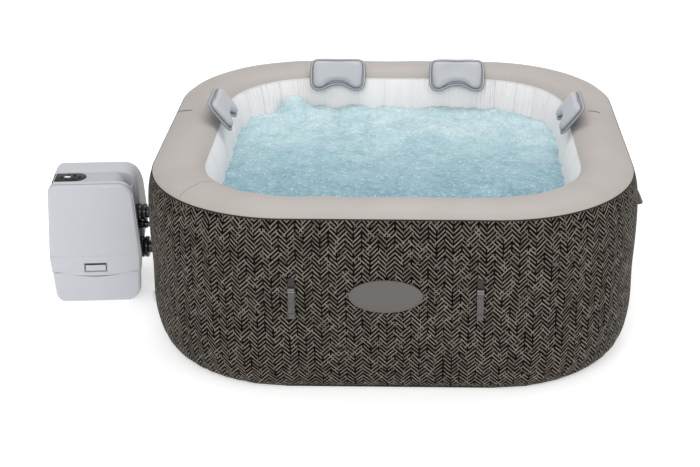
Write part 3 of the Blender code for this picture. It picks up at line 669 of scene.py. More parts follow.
def add_stage():
    """A white room with three soft lights and a white floor that glows a little."""
    world = bpy.data.worlds.new("studio")
    world.use_nodes = True
    world.node_tree.nodes["Background"].inputs["Color"].default_value = (1.0, 1.0, 1.0, 1.0)
    world.node_tree.nodes["Background"].inputs["Strength"].default_value = 0.64
    bpy.context.scene.world = world

    for name, place, aim, size, power in LIGHTS:
        lamp = bpy.data.lights.new(name, "AREA")
        lamp.size = size
        lamp.energy = power
        holder = put(name, lamp)
        holder.location = place
        holder.rotation_euler = (Vector((0, 0, aim)) - Vector(place)).to_track_quat("-Z", "Y").to_euler()

    bpy.ops.mesh.primitive_plane_add(size=60, location=(0, 0, -0.0005))
    floor = bpy.context.object
    floor.name = "studio_floor"
    paint = Graph("floor_paint", Roughness=0.9, Emission_Color=(1, 1, 1, 1), Emission_Strength=0.42)
    paint.colour(paint.blend(paint.noise(0.5), (0.90, 0.90, 0.90), (0.93, 0.93, 0.93)))
    floor.data.materials.append(paint.material)


# --- Tub ----------------------------------------------------------------------------------------
WEBS = 26                # places round the tub where the inner webs pull the wall in
PANELS = 44              # panels of the liner, between its welded upright seams


def wall_change(run, radius, height):
    """The wall is drawn in a little along each inner web, and puckers at its two welds."""
    body = ease(height, 0.03, 0.16) * ease(height, 0.665, 0.56)
    web = 0.5 - 0.5 * np.cos(2 * math.pi * run * WEBS / RUN)
    out = body * (0.0026 * (web - 0.75) + 0.0012 * ripple(run, height, 0.30, 11))
    pucker = ease(height, 0.60, 0.655) * ease(height, 0.6665, 0.655)
    out = out + 0.0008 * pucker * ripple(run, height, 0.045, 12)
    hem = ease(height, 0.09, 0.03)
    full = 0.015 * in_corner(run) * ease(height, 0.34, 0.14) * (0.40 + 0.60 * ease(height, 0.01, 0.09))
    return out + full + 0.0012 * hem * ripple(run, height, 0.07, 13), 0.0


def rim_change(run, radius, height):
    """The rim is nearly smooth: slight swells, and small puckers along its inner weld."""
    up = 0.0010 * ripple(run, radius, 0.42, 21) * ease(height, 0.670, 0.690)
    inner = ease(radius, 0.365, 0.340) * ease(radius, 0.3335, 0.338)
    up = up + 0.0012 * inner * ripple(run, radius, 0.060, 22)
    outer = ease(radius, 0.490, 0.510) * ease(height, 0.668, 0.674)
    return 0.0005 * outer * ripple(run, height, 0.05, 23), up


def in_corner(run):
    """1 in the middle of each rounded corner, fading to 0 a little way along the straight sides."""
    quarter = RUN / 4
    bend = math.pi / 2 * RUN_RADIUS
    away = np.abs((run % quarter) - (quarter - bend / 2))
    away = np.minimum(away, quarter - away)
    return ease(away, bend * 0.62, bend * 0.30)


def liner_change(run, radius, height):
    """The liner bellies between its upright welds, with gathers that are deepest in the corners."""
    phase = (run * PANELS / RUN) % 1.0
    near = np.minimum(phase, 1 - phase)
    corner = in_corner(run)
    belly = -0.0080 * np.sin(math.pi * phase) ** 0.6 * ease(height, 0.660, 0.60)
    wander = 0.9 * ripple(run, 0.0, 0.35, 31) + 1.5 * height * ripple(run, 0.0, 0.6, 33)
    gather = run / (RUN / 300) + wander
    luck = np.random.default_rng(34).random(400)[np.floor(gather).astype(int) % 400]
    groove = np.exp(-(np.sin(math.pi * gather) / 0.34) ** 2)
    strength = 0.0034 * luck + 0.0040 * corner * (0.25 + 0.75 * luck)
    strength = strength + 0.0016 * ease(near, 0.22, 0.02) * luck
    upper = ease(height, 0.44, 0.56) * ease(height, 0.6560, 0.645)
    tucks = 0.0013 * ripple(run, height, 0.045, 32) * ease(height, 0.60, 0.645) * ease(height, 0.656, 0.648)
    return belly + strength * groove * upper + tucks, 0.0


def rim_rounder(radius):
    """How much rounder the rim's corners are at a place across it."""
    return INNER_ROUNDER * float(ease(radius, 0.50, 0.34))


def build_skins():
    ring("wall_skin", WALL_SECTION, 44, 0.016, "printed_vinyl", wall_change, stands_for=["outer_wall"])
    ring("rim_skin", RIM_SECTION, 36, 0.016, "rim_vinyl", rim_change, rim_rounder,
         stands_for=["rim_panel"])
    ring("liner_skin", LINER_SECTION, 40, 0.0034, "liner_vinyl", liner_change, INNER_ROUNDER,
         stands_for=["inner_liner"])


def build_welts():
    """The welded beads where the rim meets the wall and the liner."""
    spots = stations(0.012)
    for name, radius, height, soft, bead, slot in (
            ("outer_welt", 0.5152, 0.6680, 0.0, 0.0024, "rim_vinyl"),
            ("wall_fold", 0.5180, 0.6656, 0.0, 0.0030, "printed_vinyl"),
            ("inner_welt", 0.3325, 0.6550, INNER_ROUNDER, 0.0024, "liner_vinyl")):
        mesh = tube(name, around(spots, radius, height, soft), bead, 8)
        piece(name, mesh, "tub", slot, fold_vinyl if name == "wall_fold" else None, sharp=180)


def on_rim(x, y, lift):
    """The point of the rim's upper face above a place."""
    place = bpy.data.objects["rim_skin"].ray_cast((x, y, 1.0), (0.0, 0.0, -1.0))[1]
    return (x, y, place.z + lift)


# Short marks on the rim, as (name, (x, y) places, radius of the bead, look); their dark looks paint the
# shade in the creases and along the weld.
RIM_MARKS = [("rim_crease_right", [(0.769, 0.149), (0.780, 0.152), (0.796, 0.147), (0.812, 0.138)],
              0.0024, crease_shade),
             ("rim_crease_left", [(-0.868, 0.176), (-0.854, 0.166), (-0.832, 0.150), (-0.810, 0.143)],
              0.0026, crease_shade),
             ("rim_weld_corner", [(-0.728, -0.712), (-0.707, -0.681), (-0.682, -0.662),
                                  (-0.662, -0.633), (-0.628, -0.612)], 0.0020, rim_weld_shade)]


def build_rim_creases():
    """A short crease on each side of the rim, and a weld that curves over its front left corner, drawn as
    darker beads that paint their shade.
    """
    bpy.context.view_layer.update()
    for name, places, bead, look in RIM_MARKS:
        path = [on_rim(x, y, -0.0004) for x, y in smooth_line(places, 24)]
        piece(name, tube(name, path, bead, 8, closed=False), "tub", "rim_vinyl", look, sharp=180)


# Swells of the water, as (x, y, height, half-width): the tall one fizzes up against the liner.
SWELLS = [(-0.445, 0.585, 0.082, 0.060), (-0.53, 0.47, 0.010, 0.09), (-0.33, 0.60, 0.020, 0.060),
          (-0.19, 0.61, 0.020, 0.070), (-0.02, 0.62, 0.010, 0.07), (0.20, 0.61, 0.010, 0.09),
          (0.42, 0.56, 0.008, 0.09), (0.60, 0.25, 0.008, 0.10), (-0.56, -0.10, 0.006, 0.12),
          (-0.30, 0.20, 0.010, 0.16), (0.30, -0.10, 0.008, 0.20), (0.05, -0.50, 0.006, 0.12)]


def water_height(x, y):
    """Height of the water: low swell, boils where air rises along the walls, and choppy froth."""
    total = WATER_LEVEL
    for bx, by, lift, size in SWELLS:
        total += lift * math.exp(-(((x - bx) ** 2 + (y - by) ** 2) / size ** 2) ** 1.6)
    back = 0.5 + 0.5 * math.tanh((y - 0.38) / 0.14)
    total += 0.027 * back + (0.006 + 0.005 * back) * noise.noise(Vector((x * 7, y * 7, 3.1)))
    chop = noise.fractal(Vector((x * 26, y * 20, 7.7)), 0.8, 2.2, 4)
    return total + (0.0050 + 0.0045 * back) * chop


def build_water():
    """A closed slab of water: its froth on top, its sides against the liner."""
    spots = stations(0.008, 0.40)
    loops = 150
    rows = []
    for i in range(loops):
        share = 1 - (i / loops) ** 0.85 * 0.995
        edge = around(spots, WATER_RADIUS, 0.0, INNER_ROUNDER) * share
        rows.append([(x, y, water_height(x, y)) for x, y, _ in edge])
    rim = np.array(rows[0])
    sides = [rim - [0, 0, drop] for drop in (0.012, 0.03)]
    low = rim.copy()
    low[:, 2] = WATER_BOTTOM
    centre = low * [0.02, 0.02, 1]
    points = np.array([centre, low, *sides[::-1], *rows])
    mesh = grid_mesh("water", points, (False, True), caps=True)
    piece("water", mesh, "tub", "liner_vinyl", aerated_water, sharp=180)


def oval(width, height, count=96):
    turns = circle(count)
    return np.stack([width / 2 * np.cos(turns), height / 2 * np.sin(turns)], axis=1)


def build_badge():
    """A blank oval badge: a slightly crowned face inside a raised border."""
    rows = []
    for inset, lift in ((0.0, 0.0), (0.0, 0.0022), (0.0008, 0.0030), (0.0034, 0.0030), (0.0042, 0.0022),
                        (0.0050, 0.0016), (0.02, 0.0019), (0.04, 0.0022), (0.0590, 0.0024)):
        shape = oval(0.254 - 2 * inset, 0.122 - 2 * inset)
        rows.append(upright(shape, -lift))
    mesh = grid_mesh("badge_plate", np.array(rows), (False, True), caps=True)
    at = Matrix.Translation((FRONT_CENTRE, -WALL_FACE - 0.0004, 0.393))
    piece("badge_plate", mesh, "tub", "grey_plastic", at=at, stands_for=["side_badge"])


# --- Headrests ----------------------------------------------------------------------------------
PILLOW_TILT = math.radians(37.6)
PILLOW_CENTRE = (0.667, 0.676)
PAD_BACK = 0.0035        # depth of the pad's flat back
SWELL_FRAMES = 18        # frames the cushion swells for
# Name, angle round the tub, place along that side, shift up the slope, and lift off it.
HEADRESTS = [("headrest_back_left", 90, 0.257, 0.0, (0.0, 0.0, 0.005)),
             ("headrest_back_right", 90, -0.257, 0.0, (0.0, 0.0, 0.005)),
             ("headrest_left", 180, -0.115, 0.022, (0.0, 0.010, 0.017)),
             ("headrest_right", 0, 0.115, 0.022, (0.008, 0.0, 0.015))]
# Half of the outline, from the middle of its top to the notch in its lower edge.
PILLOW_OUTLINE = [(0.0, 0.0725), (0.060, 0.0735), (0.098, 0.0700), (0.1145, 0.0540), (0.1185, 0.025),
                  (0.1185, -0.015), (0.1160, -0.045), (0.1030, -0.0650), (0.0820, -0.0710),
                  (0.0600, -0.0660), (0.0380, -0.0540), (0.0180, -0.0465), (0.0, -0.0450)]


def pillow_outline(inset, count=96):
    """The headrest's outline, moved in by a distance."""
    half = smooth_line(PILLOW_OUTLINE, count // 2 + 1)
    left = half[-2:0:-1] * [-1, 1]
    whole = np.vstack([half, left])
    ahead = np.roll(whole, -1, axis=0) - np.roll(whole, 1, axis=0)
    return whole + inset * unit(np.stack([ahead[:, 1], -ahead[:, 0]], axis=1))


def pillow_slab(name, inset, front, back, rounding):
    """The outline made solid between two depths, with its faces filled."""
    shape = pillow_outline(inset)
    rows = [pillow_outline(inset + rounding), shape, shape, pillow_outline(inset + rounding)]
    depths = [back, back - rounding, front + rounding, front]
    points = np.array([upright(row, depth) for row, depth in zip(rows, depths)])
    return grid_mesh(name, points, (False, True), caps=True)


def remeshed(mesh, voxel):
    """The mesh made anew with even faces of about this size."""
    item = put("even", mesh)
    even = item.modifiers.new("even", "REMESH")
    even.mode = "VOXEL"
    even.voxel_size = voxel
    bpy.context.view_layer.update()
    made = evaluated(item)
    bpy.data.objects.remove(item)
    return made


def inflate(mesh, pressure, reach):
    """Swell a closed mesh as sewn fabric, by a cloth simulation, no further than reach."""
    item = put("swell", mesh)
    rest = np.array([v.co[:] for v in mesh.vertices])
    cloth = item.modifiers.new("cloth", "CLOTH")
    cloth.settings.use_pressure = True
    cloth.settings.uniform_pressure_force = pressure
    cloth.settings.tension_stiffness = 12
    cloth.settings.compression_stiffness = 12
    cloth.settings.effector_weights.gravity = 0.0
    scene = bpy.context.scene
    for step in range(1, SWELL_FRAMES + 1):
        scene.frame_set(step)
    swollen = evaluated(item)
    moved = np.array([v.co[:] for v in swollen.vertices]) - rest
    size = np.linalg.norm(moved, axis=1)[:, None]
    kept = rest + moved * np.minimum(1.0, reach / np.maximum(size, 1e-9))
    swollen.vertices.foreach_set("co", kept.ravel())
    scene.frame_set(1)
    bpy.data.objects.remove(item)
    return swollen


def soften(data):
    """Smooth a bmesh a little and split its faces once."""
    for _ in range(3):
        bmesh.ops.smooth_vert(data, verts=data.verts, factor=0.5, use_axis_x=True, use_axis_y=True,
                              use_axis_z=True)
    bmesh.ops.subdivide_edges(data, edges=data.edges, cuts=1, use_grid_fill=True, smooth=0.6)


def headrest_body():
    """The padded front: a sewn cushion, swollen, with its back kept flat."""
    made = inflate(remeshed(pillow_slab("pad", 0.0105, -0.0165, 0.004, 0.006), 0.0045), 3.0, 0.0055)
    for vertex in made.vertices:
        vertex.co.y = min(vertex.co.y, PAD_BACK)
    return edited(made, soften)


def build_headrests():
    """Four headrests: a padded front, a flange behind it, and piping along the seam and the edge."""
    body = headrest_body()
    for number, (name, angle, along, shift, lift) in enumerate(HEADRESTS):
        turn = math.radians(angle)
        out = PILLOW_CENTRE[0] + shift * math.sin(PILLOW_TILT)
        height = PILLOW_CENTRE[1] + shift * math.cos(PILLOW_TILT)
        at = Matrix.Translation(Vector((out * math.cos(turn) - along * math.sin(turn),
                                        out * math.sin(turn) + along * math.cos(turn), height))
                                + Vector(lift))
        at = at @ Matrix.Rotation(turn - math.pi / 2, 4, "Z") @ Matrix.Rotation(-PILLOW_TILT, 4, "X")
        pad_mesh = body.copy()
        for vertex in pad_mesh.vertices:
            x, y, z = vertex.co
            if y < 0:
                dent = noise.noise(Vector((x * 14, z * 14, 5.0 * number)))
                vertex.co.y += 0.0012 * dent + 0.0016 * math.exp(-(x / 0.05) ** 2 - (z / 0.03) ** 2)
        pad = piece(name + "_pad", pad_mesh, name, "pillow_vinyl", at=at, stands_for=[name], sharp=180)
        flange = pillow_slab(name + "_flange", 0.0015, 0.0030, 0.0095, 0.0015)
        piece(name + "_flange", flange, name, "pillow_vinyl", at=at)
        for label, inset, depth, bead in (("seam_piping", 0.0092, -0.0008, 0.0016),
                                          ("edge_piping", 0.0010, 0.0062, 0.0022)):
            path = upright(pillow_outline(inset, 144), depth)
            piece(name + "_" + label, flat_bead(name + "_" + label, path, bead), name, "pillow_vinyl",
                  piping, at=at, sharp=180)


# --- Straps ---------------------------------------------------------------------------------------
STRAP_OFFSET = 0.322
STRAP_TOP = 0.432
STRAPS = [("strap_right_back", 0, STRAP_OFFSET), ("strap_right_front", 0, -STRAP_OFFSET),
          ("strap_back_left", 90, STRAP_OFFSET), ("strap_back_right", 90, -STRAP_OFFSET),
          ("strap_left_front", 180, STRAP_OFFSET), ("strap_left_back", 180, -STRAP_OFFSET),
          ("strap_front_right", 270, FRONT_CENTRE + STRAP_OFFSET),
          ("strap_front_left", 270, FRONT_CENTRE - STRAP_OFFSET)]
# Lines of the webbing, as (distance from the wall, height) from the strap's middle.
ANCHOR_LINE = [(0.0010, 0.026), (0.0022, 0.010), (0.0030, -0.0020), (0.0022, -0.0048),
               (0.0012, -0.0020), (0.0012, 0.006)]
TAIL_LINE = [(0.0030, -0.0100), (0.0066, -0.0140), (0.0072, -0.0200), (0.0062, -0.0250),
             (0.0030, -0.0310), (0.0034, -0.042), (0.0085, -0.066), (0.0070, -0.085),
             (0.0036, -0.108), (0.0036, -0.1225)]
FOLD_LINE = [(0.0058, -0.106), (0.0062, -0.114), (0.0062, -0.121), (0.0052, -0.1246), (0.0040, -0.1240)]


def ribbon(name, line, width, thick):
    """Flat webbing along (distance from the wall, height) points, laid out in metres."""
    fine = smooth_line(line, 60)
    slope = np.gradient(fine, axis=0)
    normal = unit(np.stack([-slope[:, 1], slope[:, 0]], axis=1))
    across = np.array([(-0.5, -0.35), (-0.47, -0.5), (0.47, -0.5), (0.5, -0.35), (0.5, 0.35), (0.47, 0.5),
                       (-0.47, 0.5), (-0.5, 0.35)])
    run = distances(fine)
    points = np.zeros((len(fine), 8, 3))
    for k, (side, depth) in enumerate(across):
        spot = fine + normal * depth * thick
        points[:, k] = np.stack([spot[:, 0], 0 * run + side * width, spot[:, 1]], axis=1)
    metres = np.zeros((len(fine), 9, 2))
    metres[..., 0] = np.append(across[:, 0], across[0, 0])[None, :] * width
    metres[..., 1] = run[:, None]
    return grid_mesh(name, points, (False, True), metres, caps=True)


def bar(name, low, high, bevel):
    """A block with rounded edges."""
    data = bmesh.new()
    bmesh.ops.create_cube(data, size=1.0)
    low, high = Vector(low), Vector(high)
    for vertex in data.verts:
        vertex.co = [(a + b) / 2 + c * (b - a) for a, b, c in zip(low, high, vertex.co)]
    bmesh.ops.bevel(data, geom=data.edges[:], offset=bevel, segments=3, affect="EDGES", profile=0.6)
    mesh = bpy.data.meshes.new(name)
    data.to_mesh(mesh)
    data.free()
    return mesh


def joined(name, meshes):
    """Several meshes as one."""
    data = bmesh.new()
    for mesh in meshes:
        data.from_mesh(mesh)
    whole = bpy.data.meshes.new(name)
    data.to_mesh(whole)
    data.free()
    return whole


def build_straps():
    """Each lid strap: a patch and an anchor loop on the wall, a two-bar buckle, a webbing tail."""
    for name, angle, along in STRAPS:
        turn = math.radians(angle)
        at = Matrix.Rotation(turn, 4, "Z") @ Matrix.Translation((WALL_FACE, along, STRAP_TOP))
        patch = bar(name + "_patch", (-0.0012, -0.0120, -0.010), (0.0006, 0.0120, 0.026), 0.0008)
        piece(name + "_patch", patch, "tub", "strap_plastic", fold_vinyl, at=at)
        anchor = ribbon(name + "_anchor", ANCHOR_LINE, 0.0205, 0.0011)
        piece(name + "_anchor", anchor, "tub", "strap_plastic", dark_webbing, at=at)
        rails = [bar("rail", (0.0026, -0.0125, z - 0.0014), (0.0092, 0.0125, z + 0.0014), 0.0011)
                 for z in (-0.0130, -0.0222)]
        buckle = joined(name + "_buckle", rails)
        piece(name + "_buckle", buckle, name, "strap_plastic", buckle_highlit_plastic, at=at, stands_for=[name])
        cheeks = [bar("cheek", (0.0020, y - 0.0012, -0.0245), (0.0060, y + 0.0012, -0.0020), 0.0008)
                  for y in (-0.0118, 0.0118)]
        cheeks.append(bar("cheek", (0.0020, -0.0118, -0.0185), (0.0046, 0.0118, -0.0155), 0.0008))
        piece(name + "_cheeks", joined(name + "_cheeks", cheeks), name, "strap_plastic", fold_vinyl, at=at)
        tail = ribbon(name + "_tail", TAIL_LINE, 0.0225, 0.0016)
        fold = ribbon(name + "_fold", FOLD_LINE, 0.0225, 0.0014)
        stitches = [bar("stitch", (0.0060, y - 0.0016, -0.1105), (0.0072, y + 0.0016, -0.1095), 0.0003)
                    for y in np.linspace(-0.009, 0.009, 5)]
        whole = joined(name + "_webbing", [tail, fold, *stitches])
        piece(name + "_webbing", whole, name, "strap_plastic", webbing, at=at)


# --- Couplings and valves ---------------------------------------------------------------------------
COUPLINGS = [("nut_upper", 0.339, 0.022, 0.0340, 28), ("nut_air", 0.287, 0.0105, 0.0150, 16),
             ("nut_lower", 0.190, 0.024, 0.0420, 32)]
NUT_LOW, NUT_HIGH = -1.0205, -0.978
ALONG_X = Matrix.Rotation(math.pi / 2, 4, "Y")
AGAINST_X = Matrix.Rotation(-math.pi / 2, 4, "Y")


def build_nuts():
    """Coupling nuts with gripping ribs on their wide collar and a smooth back collar."""
    width = NUT_HIGH - NUT_LOW
    for name, height, pipe, size, count in COUPLINGS:
        bore = pipe + 0.0006
        profile = [(bore, NUT_HIGH), (size * 0.90, NUT_HIGH), (size * 0.97, NUT_HIGH - 0.03 * width),
                   (size, NUT_HIGH - 0.10 * width), (size, NUT_HIGH - 0.26 * width),
                   (size * 0.985, NUT_HIGH - 0.30 * width),
                   (size * 0.86, NUT_HIGH - 0.33 * width), (size * 0.86, NUT_HIGH - 0.42 * width),
                   (size * 0.97, NUT_HIGH - 0.45 * width), (size, NUT_HIGH - 0.50 * width),
                   (size, NUT_LOW + 0.12 * width), (size * 0.97, NUT_LOW + 0.04 * width),
                   (size * 0.90, NUT_LOW), (bore, NUT_LOW)]

        def ribs(turns, radius, level, count=count, size=size):
            if radius < size * 0.93 or level > NUT_HIGH - 0.44 * width:
                return 0 * turns
            return -0.045 * size * ease(np.cos(turns * count), 0.2, -0.2)

        mesh = turned_mesh(name + "_ribbed", profile, count * 8, ribs)
        at = Matrix.Translation((0, COUPLING_Y, height)) @ ALONG_X
        piece(name + "_ribbed", mesh, name, "black_plastic", at=at, stands_for=[name], sharp=28)


def build_wall_flanges():
    """Moulded flanges on the wall round each port, standing for the ports' outer ends."""
    for name, height, pipe, flange, face in (("port_upper", 0.339, 0.022, 0.0300, -0.9000),
                                             ("port_lower", 0.190, 0.024, 0.0370, -0.8905)):
        end = -0.9782
        profile = [(pipe - 0.004, -0.6520), (pipe, -0.6520), (pipe, face), (flange, face),
                   (flange, face - 0.003), (flange - 0.0015, face - 0.005), (pipe + 0.004, face - 0.006),
                   (pipe + 0.001, face - 0.010), (pipe, face - 0.016), (pipe, end), (pipe, -0.9992),
                   (pipe - 0.004, -0.9992)]
        mesh = turned_mesh(name + "_tube", profile, 64)
        at = Matrix.Translation((0, COUPLING_Y, height)) @ ALONG_X
        piece(name + "_tube", mesh, "tub", "black_plastic", at=at, stands_for=[name])
    rings = []
    for x in (-0.9120, -0.9300, -0.9480):
        turns = circle(40)
        path = np.stack([0 * turns + x, COUPLING_Y + 0.0232 * np.cos(turns),
                         0.339 + 0.0232 * np.sin(turns)], axis=1)
        rings.append(tube("ring", path, 0.0016, 8))
    piece("port_rings", joined("port_rings", rings), "tub", "black_plastic", sharp=180)


VALVE = (WALL_FACE, -0.325, 0.530)
DRAIN = (-0.8893, -0.365, 0.120)


VALVE_CAP = [(0, 0.0105), (0.009, 0.0105), (0.0125, 0.0101), (0.0145, 0.0088), (0.015, 0.0070),
             (0.015, 0.0048), (0.0145, 0.0045), (0.0075, 0.0045), (0.0075, -0.010), (0, -0.010)]
DRAIN_CAP = [(0, 0.026), (0.012, 0.026), (0.0180, 0.0256), (0.0205, 0.0240), (0.021, 0.0220),
             (0.021, 0.0065), (0.0205, 0.0055), (0.0175, 0.0055), (0.0175, 0.0185), (0, 0.0185)]


def build_valves():
    """The ribbed caps of the air valve and of the drain."""
    for body, place, along, profile, rim in (("valve_cap", VALVE, ALONG_X, VALVE_CAP, 0.014),
                                             ("drain_cap", DRAIN, AGAINST_X, DRAIN_CAP, 0.0195)):

        def ribs(turns, radius, level, rim=rim):
            return -0.0006 * ease(np.cos(turns * 18), 0.3, -0.3) if radius > rim else 0 * turns

        mesh = turned_mesh(body + "_ribbed", profile, 144, ribs)
        at = Matrix.Translation(place) @ along
        piece(body + "_ribbed", mesh, body, "white_plastic", at=at, stands_for=[body])


def build_hood():
    """The flap over the air valve: it stands further out towards its open lower edge."""
    turns = np.linspace(0, math.pi, 33)

    def shell(shrink):
        rows = []
        for share in np.linspace(0, 1, 17):
            height = 0.0315 - 0.0490 * share
            wide = (0.0325 * math.sqrt(1 - (1 - min(1.0, share / 0.75)) ** 2.2) + 0.002) - shrink
            proud = 0.0035 + 0.0245 * share ** 0.8 - shrink
            rows.append(np.stack([np.maximum(proud * np.sin(turns) ** 0.7, 0.0), wide * np.cos(turns),
                                  height + 0 * turns], axis=-1))
        return rows

    points = np.array(shell(0.0) + shell(0.0022)[::-1])
    mesh = grid_mesh("valve_hood_flap", points, (True, False))
    edited(mesh, lambda data: bmesh.ops.holes_fill(data, edges=data.edges, sides=0))
    at = Matrix.Translation((WALL_FACE + 0.0006, VALVE[1], VALVE[2]))
    piece("valve_hood_flap", mesh, "valve_hood", "grey_plastic", hood_plastic, at=at,
          stands_for=["valve_hood"])


# --- Pump unit ---------------------------------------------------------------------------------------
EDGE = 0.0115            # rounding of the cover's front edge
SEAM_LOW, SEAM_RISE = 0.1155, 0.016
COVER_LOW = SEAM_LOW + SEAM_RISE + 0.0010    # lower edge of the covers behind the front one


def half_width(height):
    """Half-width of the pump's outline, without its rounded corners."""
    height = np.asarray(height, float)
    low = PUMP_FOOT + (PUMP_MID - PUMP_FOOT) * height / PUMP_MID_HEIGHT
    high = PUMP_MID + (PUMP_TOP - PUMP_MID) * (height - PUMP_MID_HEIGHT) / (PUMP_HEIGHT - PUMP_MID_HEIGHT)
    return np.minimum(low, high)


def side_x(height, right, top=PUMP_HEIGHT, radius=0.045, foot=0.035):
    """X of the outline's right or left side at a height, with its corners rounded."""
    height = np.asarray(height, float)
    up = np.clip((height - (top - radius)) / radius, 0, 1)
    down = np.clip((foot - height) / foot, 0, 1)
    x = half_width(height) - radius * (1 - np.sqrt(1 - up ** 2)) - foot * (1 - np.sqrt(1 - down ** 2))
    return x if right else -x


def outline(low, inset=0.0, left=None, right=None, top=None, crown=PUMP_HEIGHT, radii=(0.026, 0.055)):
    """Closed outline (x, z) of the pump above a height: up the right side, over, down the left."""
    left = inset if left is None else left
    right = inset if right is None else right
    top = crown - (inset if top is None else top)
    points = []
    for side, radius, move in ((True, radii[1], right), (False, radii[0], left)):
        radius = max(radius - move, 0.006)
        straight = np.linspace(low, top - radius, 14)
        bend = top - radius + radius * np.sin(np.linspace(0, math.pi / 2, 15)[1:])
        heights = np.concatenate([straight, bend])
        x = side_x(heights, side, top, radius, 0.04) - (move if side else -move)
        column = np.stack([x, heights], axis=1)
        points.append(column if side else column[::-1])
    right_side, left_side = points
    roof = np.linspace(right_side[-1], left_side[0], 8)[1:-1]
    sill = np.linspace(left_side[-1], right_side[0], 10)[1:-1]
    return np.vstack([right_side, roof, left_side, sill])


def loft(name, rings):
    """Closed skin through outlines, each given as (points, depth)."""
    rows = [upright(line, depth) for line, depth in rings]
    return grid_mesh(name, np.array(rows), (False, True), caps=True)


def seam_height(x):
    """Height of the joint between the front cover and the base tray: lowest in the middle."""
    return SEAM_LOW + SEAM_RISE * np.minimum(1.0, (np.abs(x) / 0.150)) ** 2


def edge_distance(x, z, border):
    """Distance of each point from a closed border."""
    a = border
    b = np.roll(border, -1, axis=0)
    spot = np.stack([x.ravel(), z.ravel()], axis=1)
    best = np.full(len(spot), 1e9)
    for p, q in zip(a, b):
        along = q - p
        share = np.clip(((spot - p) @ along) / max(along @ along, 1e-12), 0, 1)
        best = np.minimum(best, np.linalg.norm(spot - p - share[:, None] * along, axis=1))
    return best.reshape(x.shape)


def faced_block(name, rows, sides, back, face, seam):
    """A closed block: a fine front face, whose depth is face(x, z), and a back at a depth.

    rows are heights from low to high, sides(height) gives its left and right x, and seam(x, z)
    moves points up.
    """
    across = np.linspace(0, 1, 91)
    left, right = sides(rows)
    x = left[:, None] + (right - left)[:, None] * across[None, :]
    z = rows[:, None] + 0 * x
    z = z + seam(x, z)
    front = np.stack([x, face(x, z), z], axis=-1)
    rear = np.stack([x, 0 * x + back, z], axis=-1)
    data = bmesh.new()
    grids = []
    for grid in (front, rear):
        grids.append([[data.verts.new(p) for p in line] for line in grid])
    for grid in grids:
        for low, high in zip(grid, grid[1:]):
            for i in range(len(low) - 1):
                data.faces.new((low[i], low[i + 1], high[i + 1], high[i]))
    borders = []
    for grid in grids:
        borders.append(grid[0] + [line[-1] for line in grid[1:-1]] + grid[-1][::-1]
                       + [line[0] for line in grid[-2:0:-1]])
    count = len(borders[0])
    for i in range(count):
        j = (i + 1) % count
        data.faces.new((borders[0][i], borders[0][j], borders[1][j], borders[1][i]))
    mesh = bpy.data.meshes.new(name)
    data.to_mesh(mesh)
    data.free()
    return mesh


LATCH_LOW, LATCH_HIGH = (-0.046, 0.132), (0.042, 0.169)


def latch_depth(x, z):
    """Depth of the hand recess in the front cover, deepest under its top edge."""
    inside = (ease(x, LATCH_LOW[0] - 0.0012, LATCH_LOW[0] + 0.0012)
              * ease(x, LATCH_HIGH[0] + 0.0012, LATCH_HIGH[0] - 0.0012)
              * ease(z, LATCH_LOW[1] - 0.0012, LATCH_LOW[1] + 0.0012)
              * ease(z, LATCH_HIGH[1] + 0.0010, LATCH_HIGH[1] - 0.0010))
    return 0.0085 * inside


def latch_frame(x, z):
    """The low raised border round the hand recess."""
    out_x = np.maximum(LATCH_LOW[0] - x, x - LATCH_HIGH[0])
    out_z = np.maximum(LATCH_LOW[1] - z, z - LATCH_HIGH[1])
    away = np.maximum(out_x, out_z)
    return 0.0010 * ease(away, -0.001, 0.0) * ease(away, 0.0055, 0.0040)


def cover_face(x, z):
    """Depth of the front cover's face: rounded edges, a low step, a lip and the hand recess."""
    away = edge_distance(x, z, outline(0.02, radii=(0.026, 0.055)))
    near = np.clip(1 - away / EDGE, 0, 1)
    depth = EDGE * (1 - np.sqrt(1 - near ** 2))
    ledge = 0.0024 * ease(z, PUMP_MID_HEIGHT + 0.0050, PUMP_MID_HEIGHT + 0.0005)
    crown = 0.0035 * (1 - (x / 0.17) ** 2) * ease(z, 0.52, 0.20)
    lip = 0.0008 * ease(z, SEAM_LOW + 0.016, SEAM_LOW + 0.003) * ease(np.abs(x), 0.125, 0.03)
    return depth + 0.0060 - ledge - crown - lip + latch_depth(x, z) - latch_frame(x, z)


def base_face(x, z):
    """Depth of the base tray's face: rounded edges and a slight crown."""
    left = side_x(z[:, :1], False, foot=0.035) + 0.0012
    right = side_x(z[:, :1], True, foot=0.058) - 0.0012
    away = np.minimum(np.minimum(x - left, right - x), z + 0.001)
    near = np.clip(1 - away / 0.014, 0, 1)
    return 0.0072 + 0.014 * (1 - np.sqrt(1 - near ** 2)) - 0.0028 * (1 - (x / 0.17) ** 2)


def slim_rear(mesh):
    """Draw the lower rear right of the pump in, where its body narrows behind the couplings."""
    for vertex in mesh.vertices:
        x, y, z = vertex.co
        if x > 0:
            draw = 0.047 * float(ease(y, 0.035, 0.300) * ease(z, 0.240, 0.060) * ease(x, 0.02, 0.15))
            vertex.co.x -= draw
    return mesh


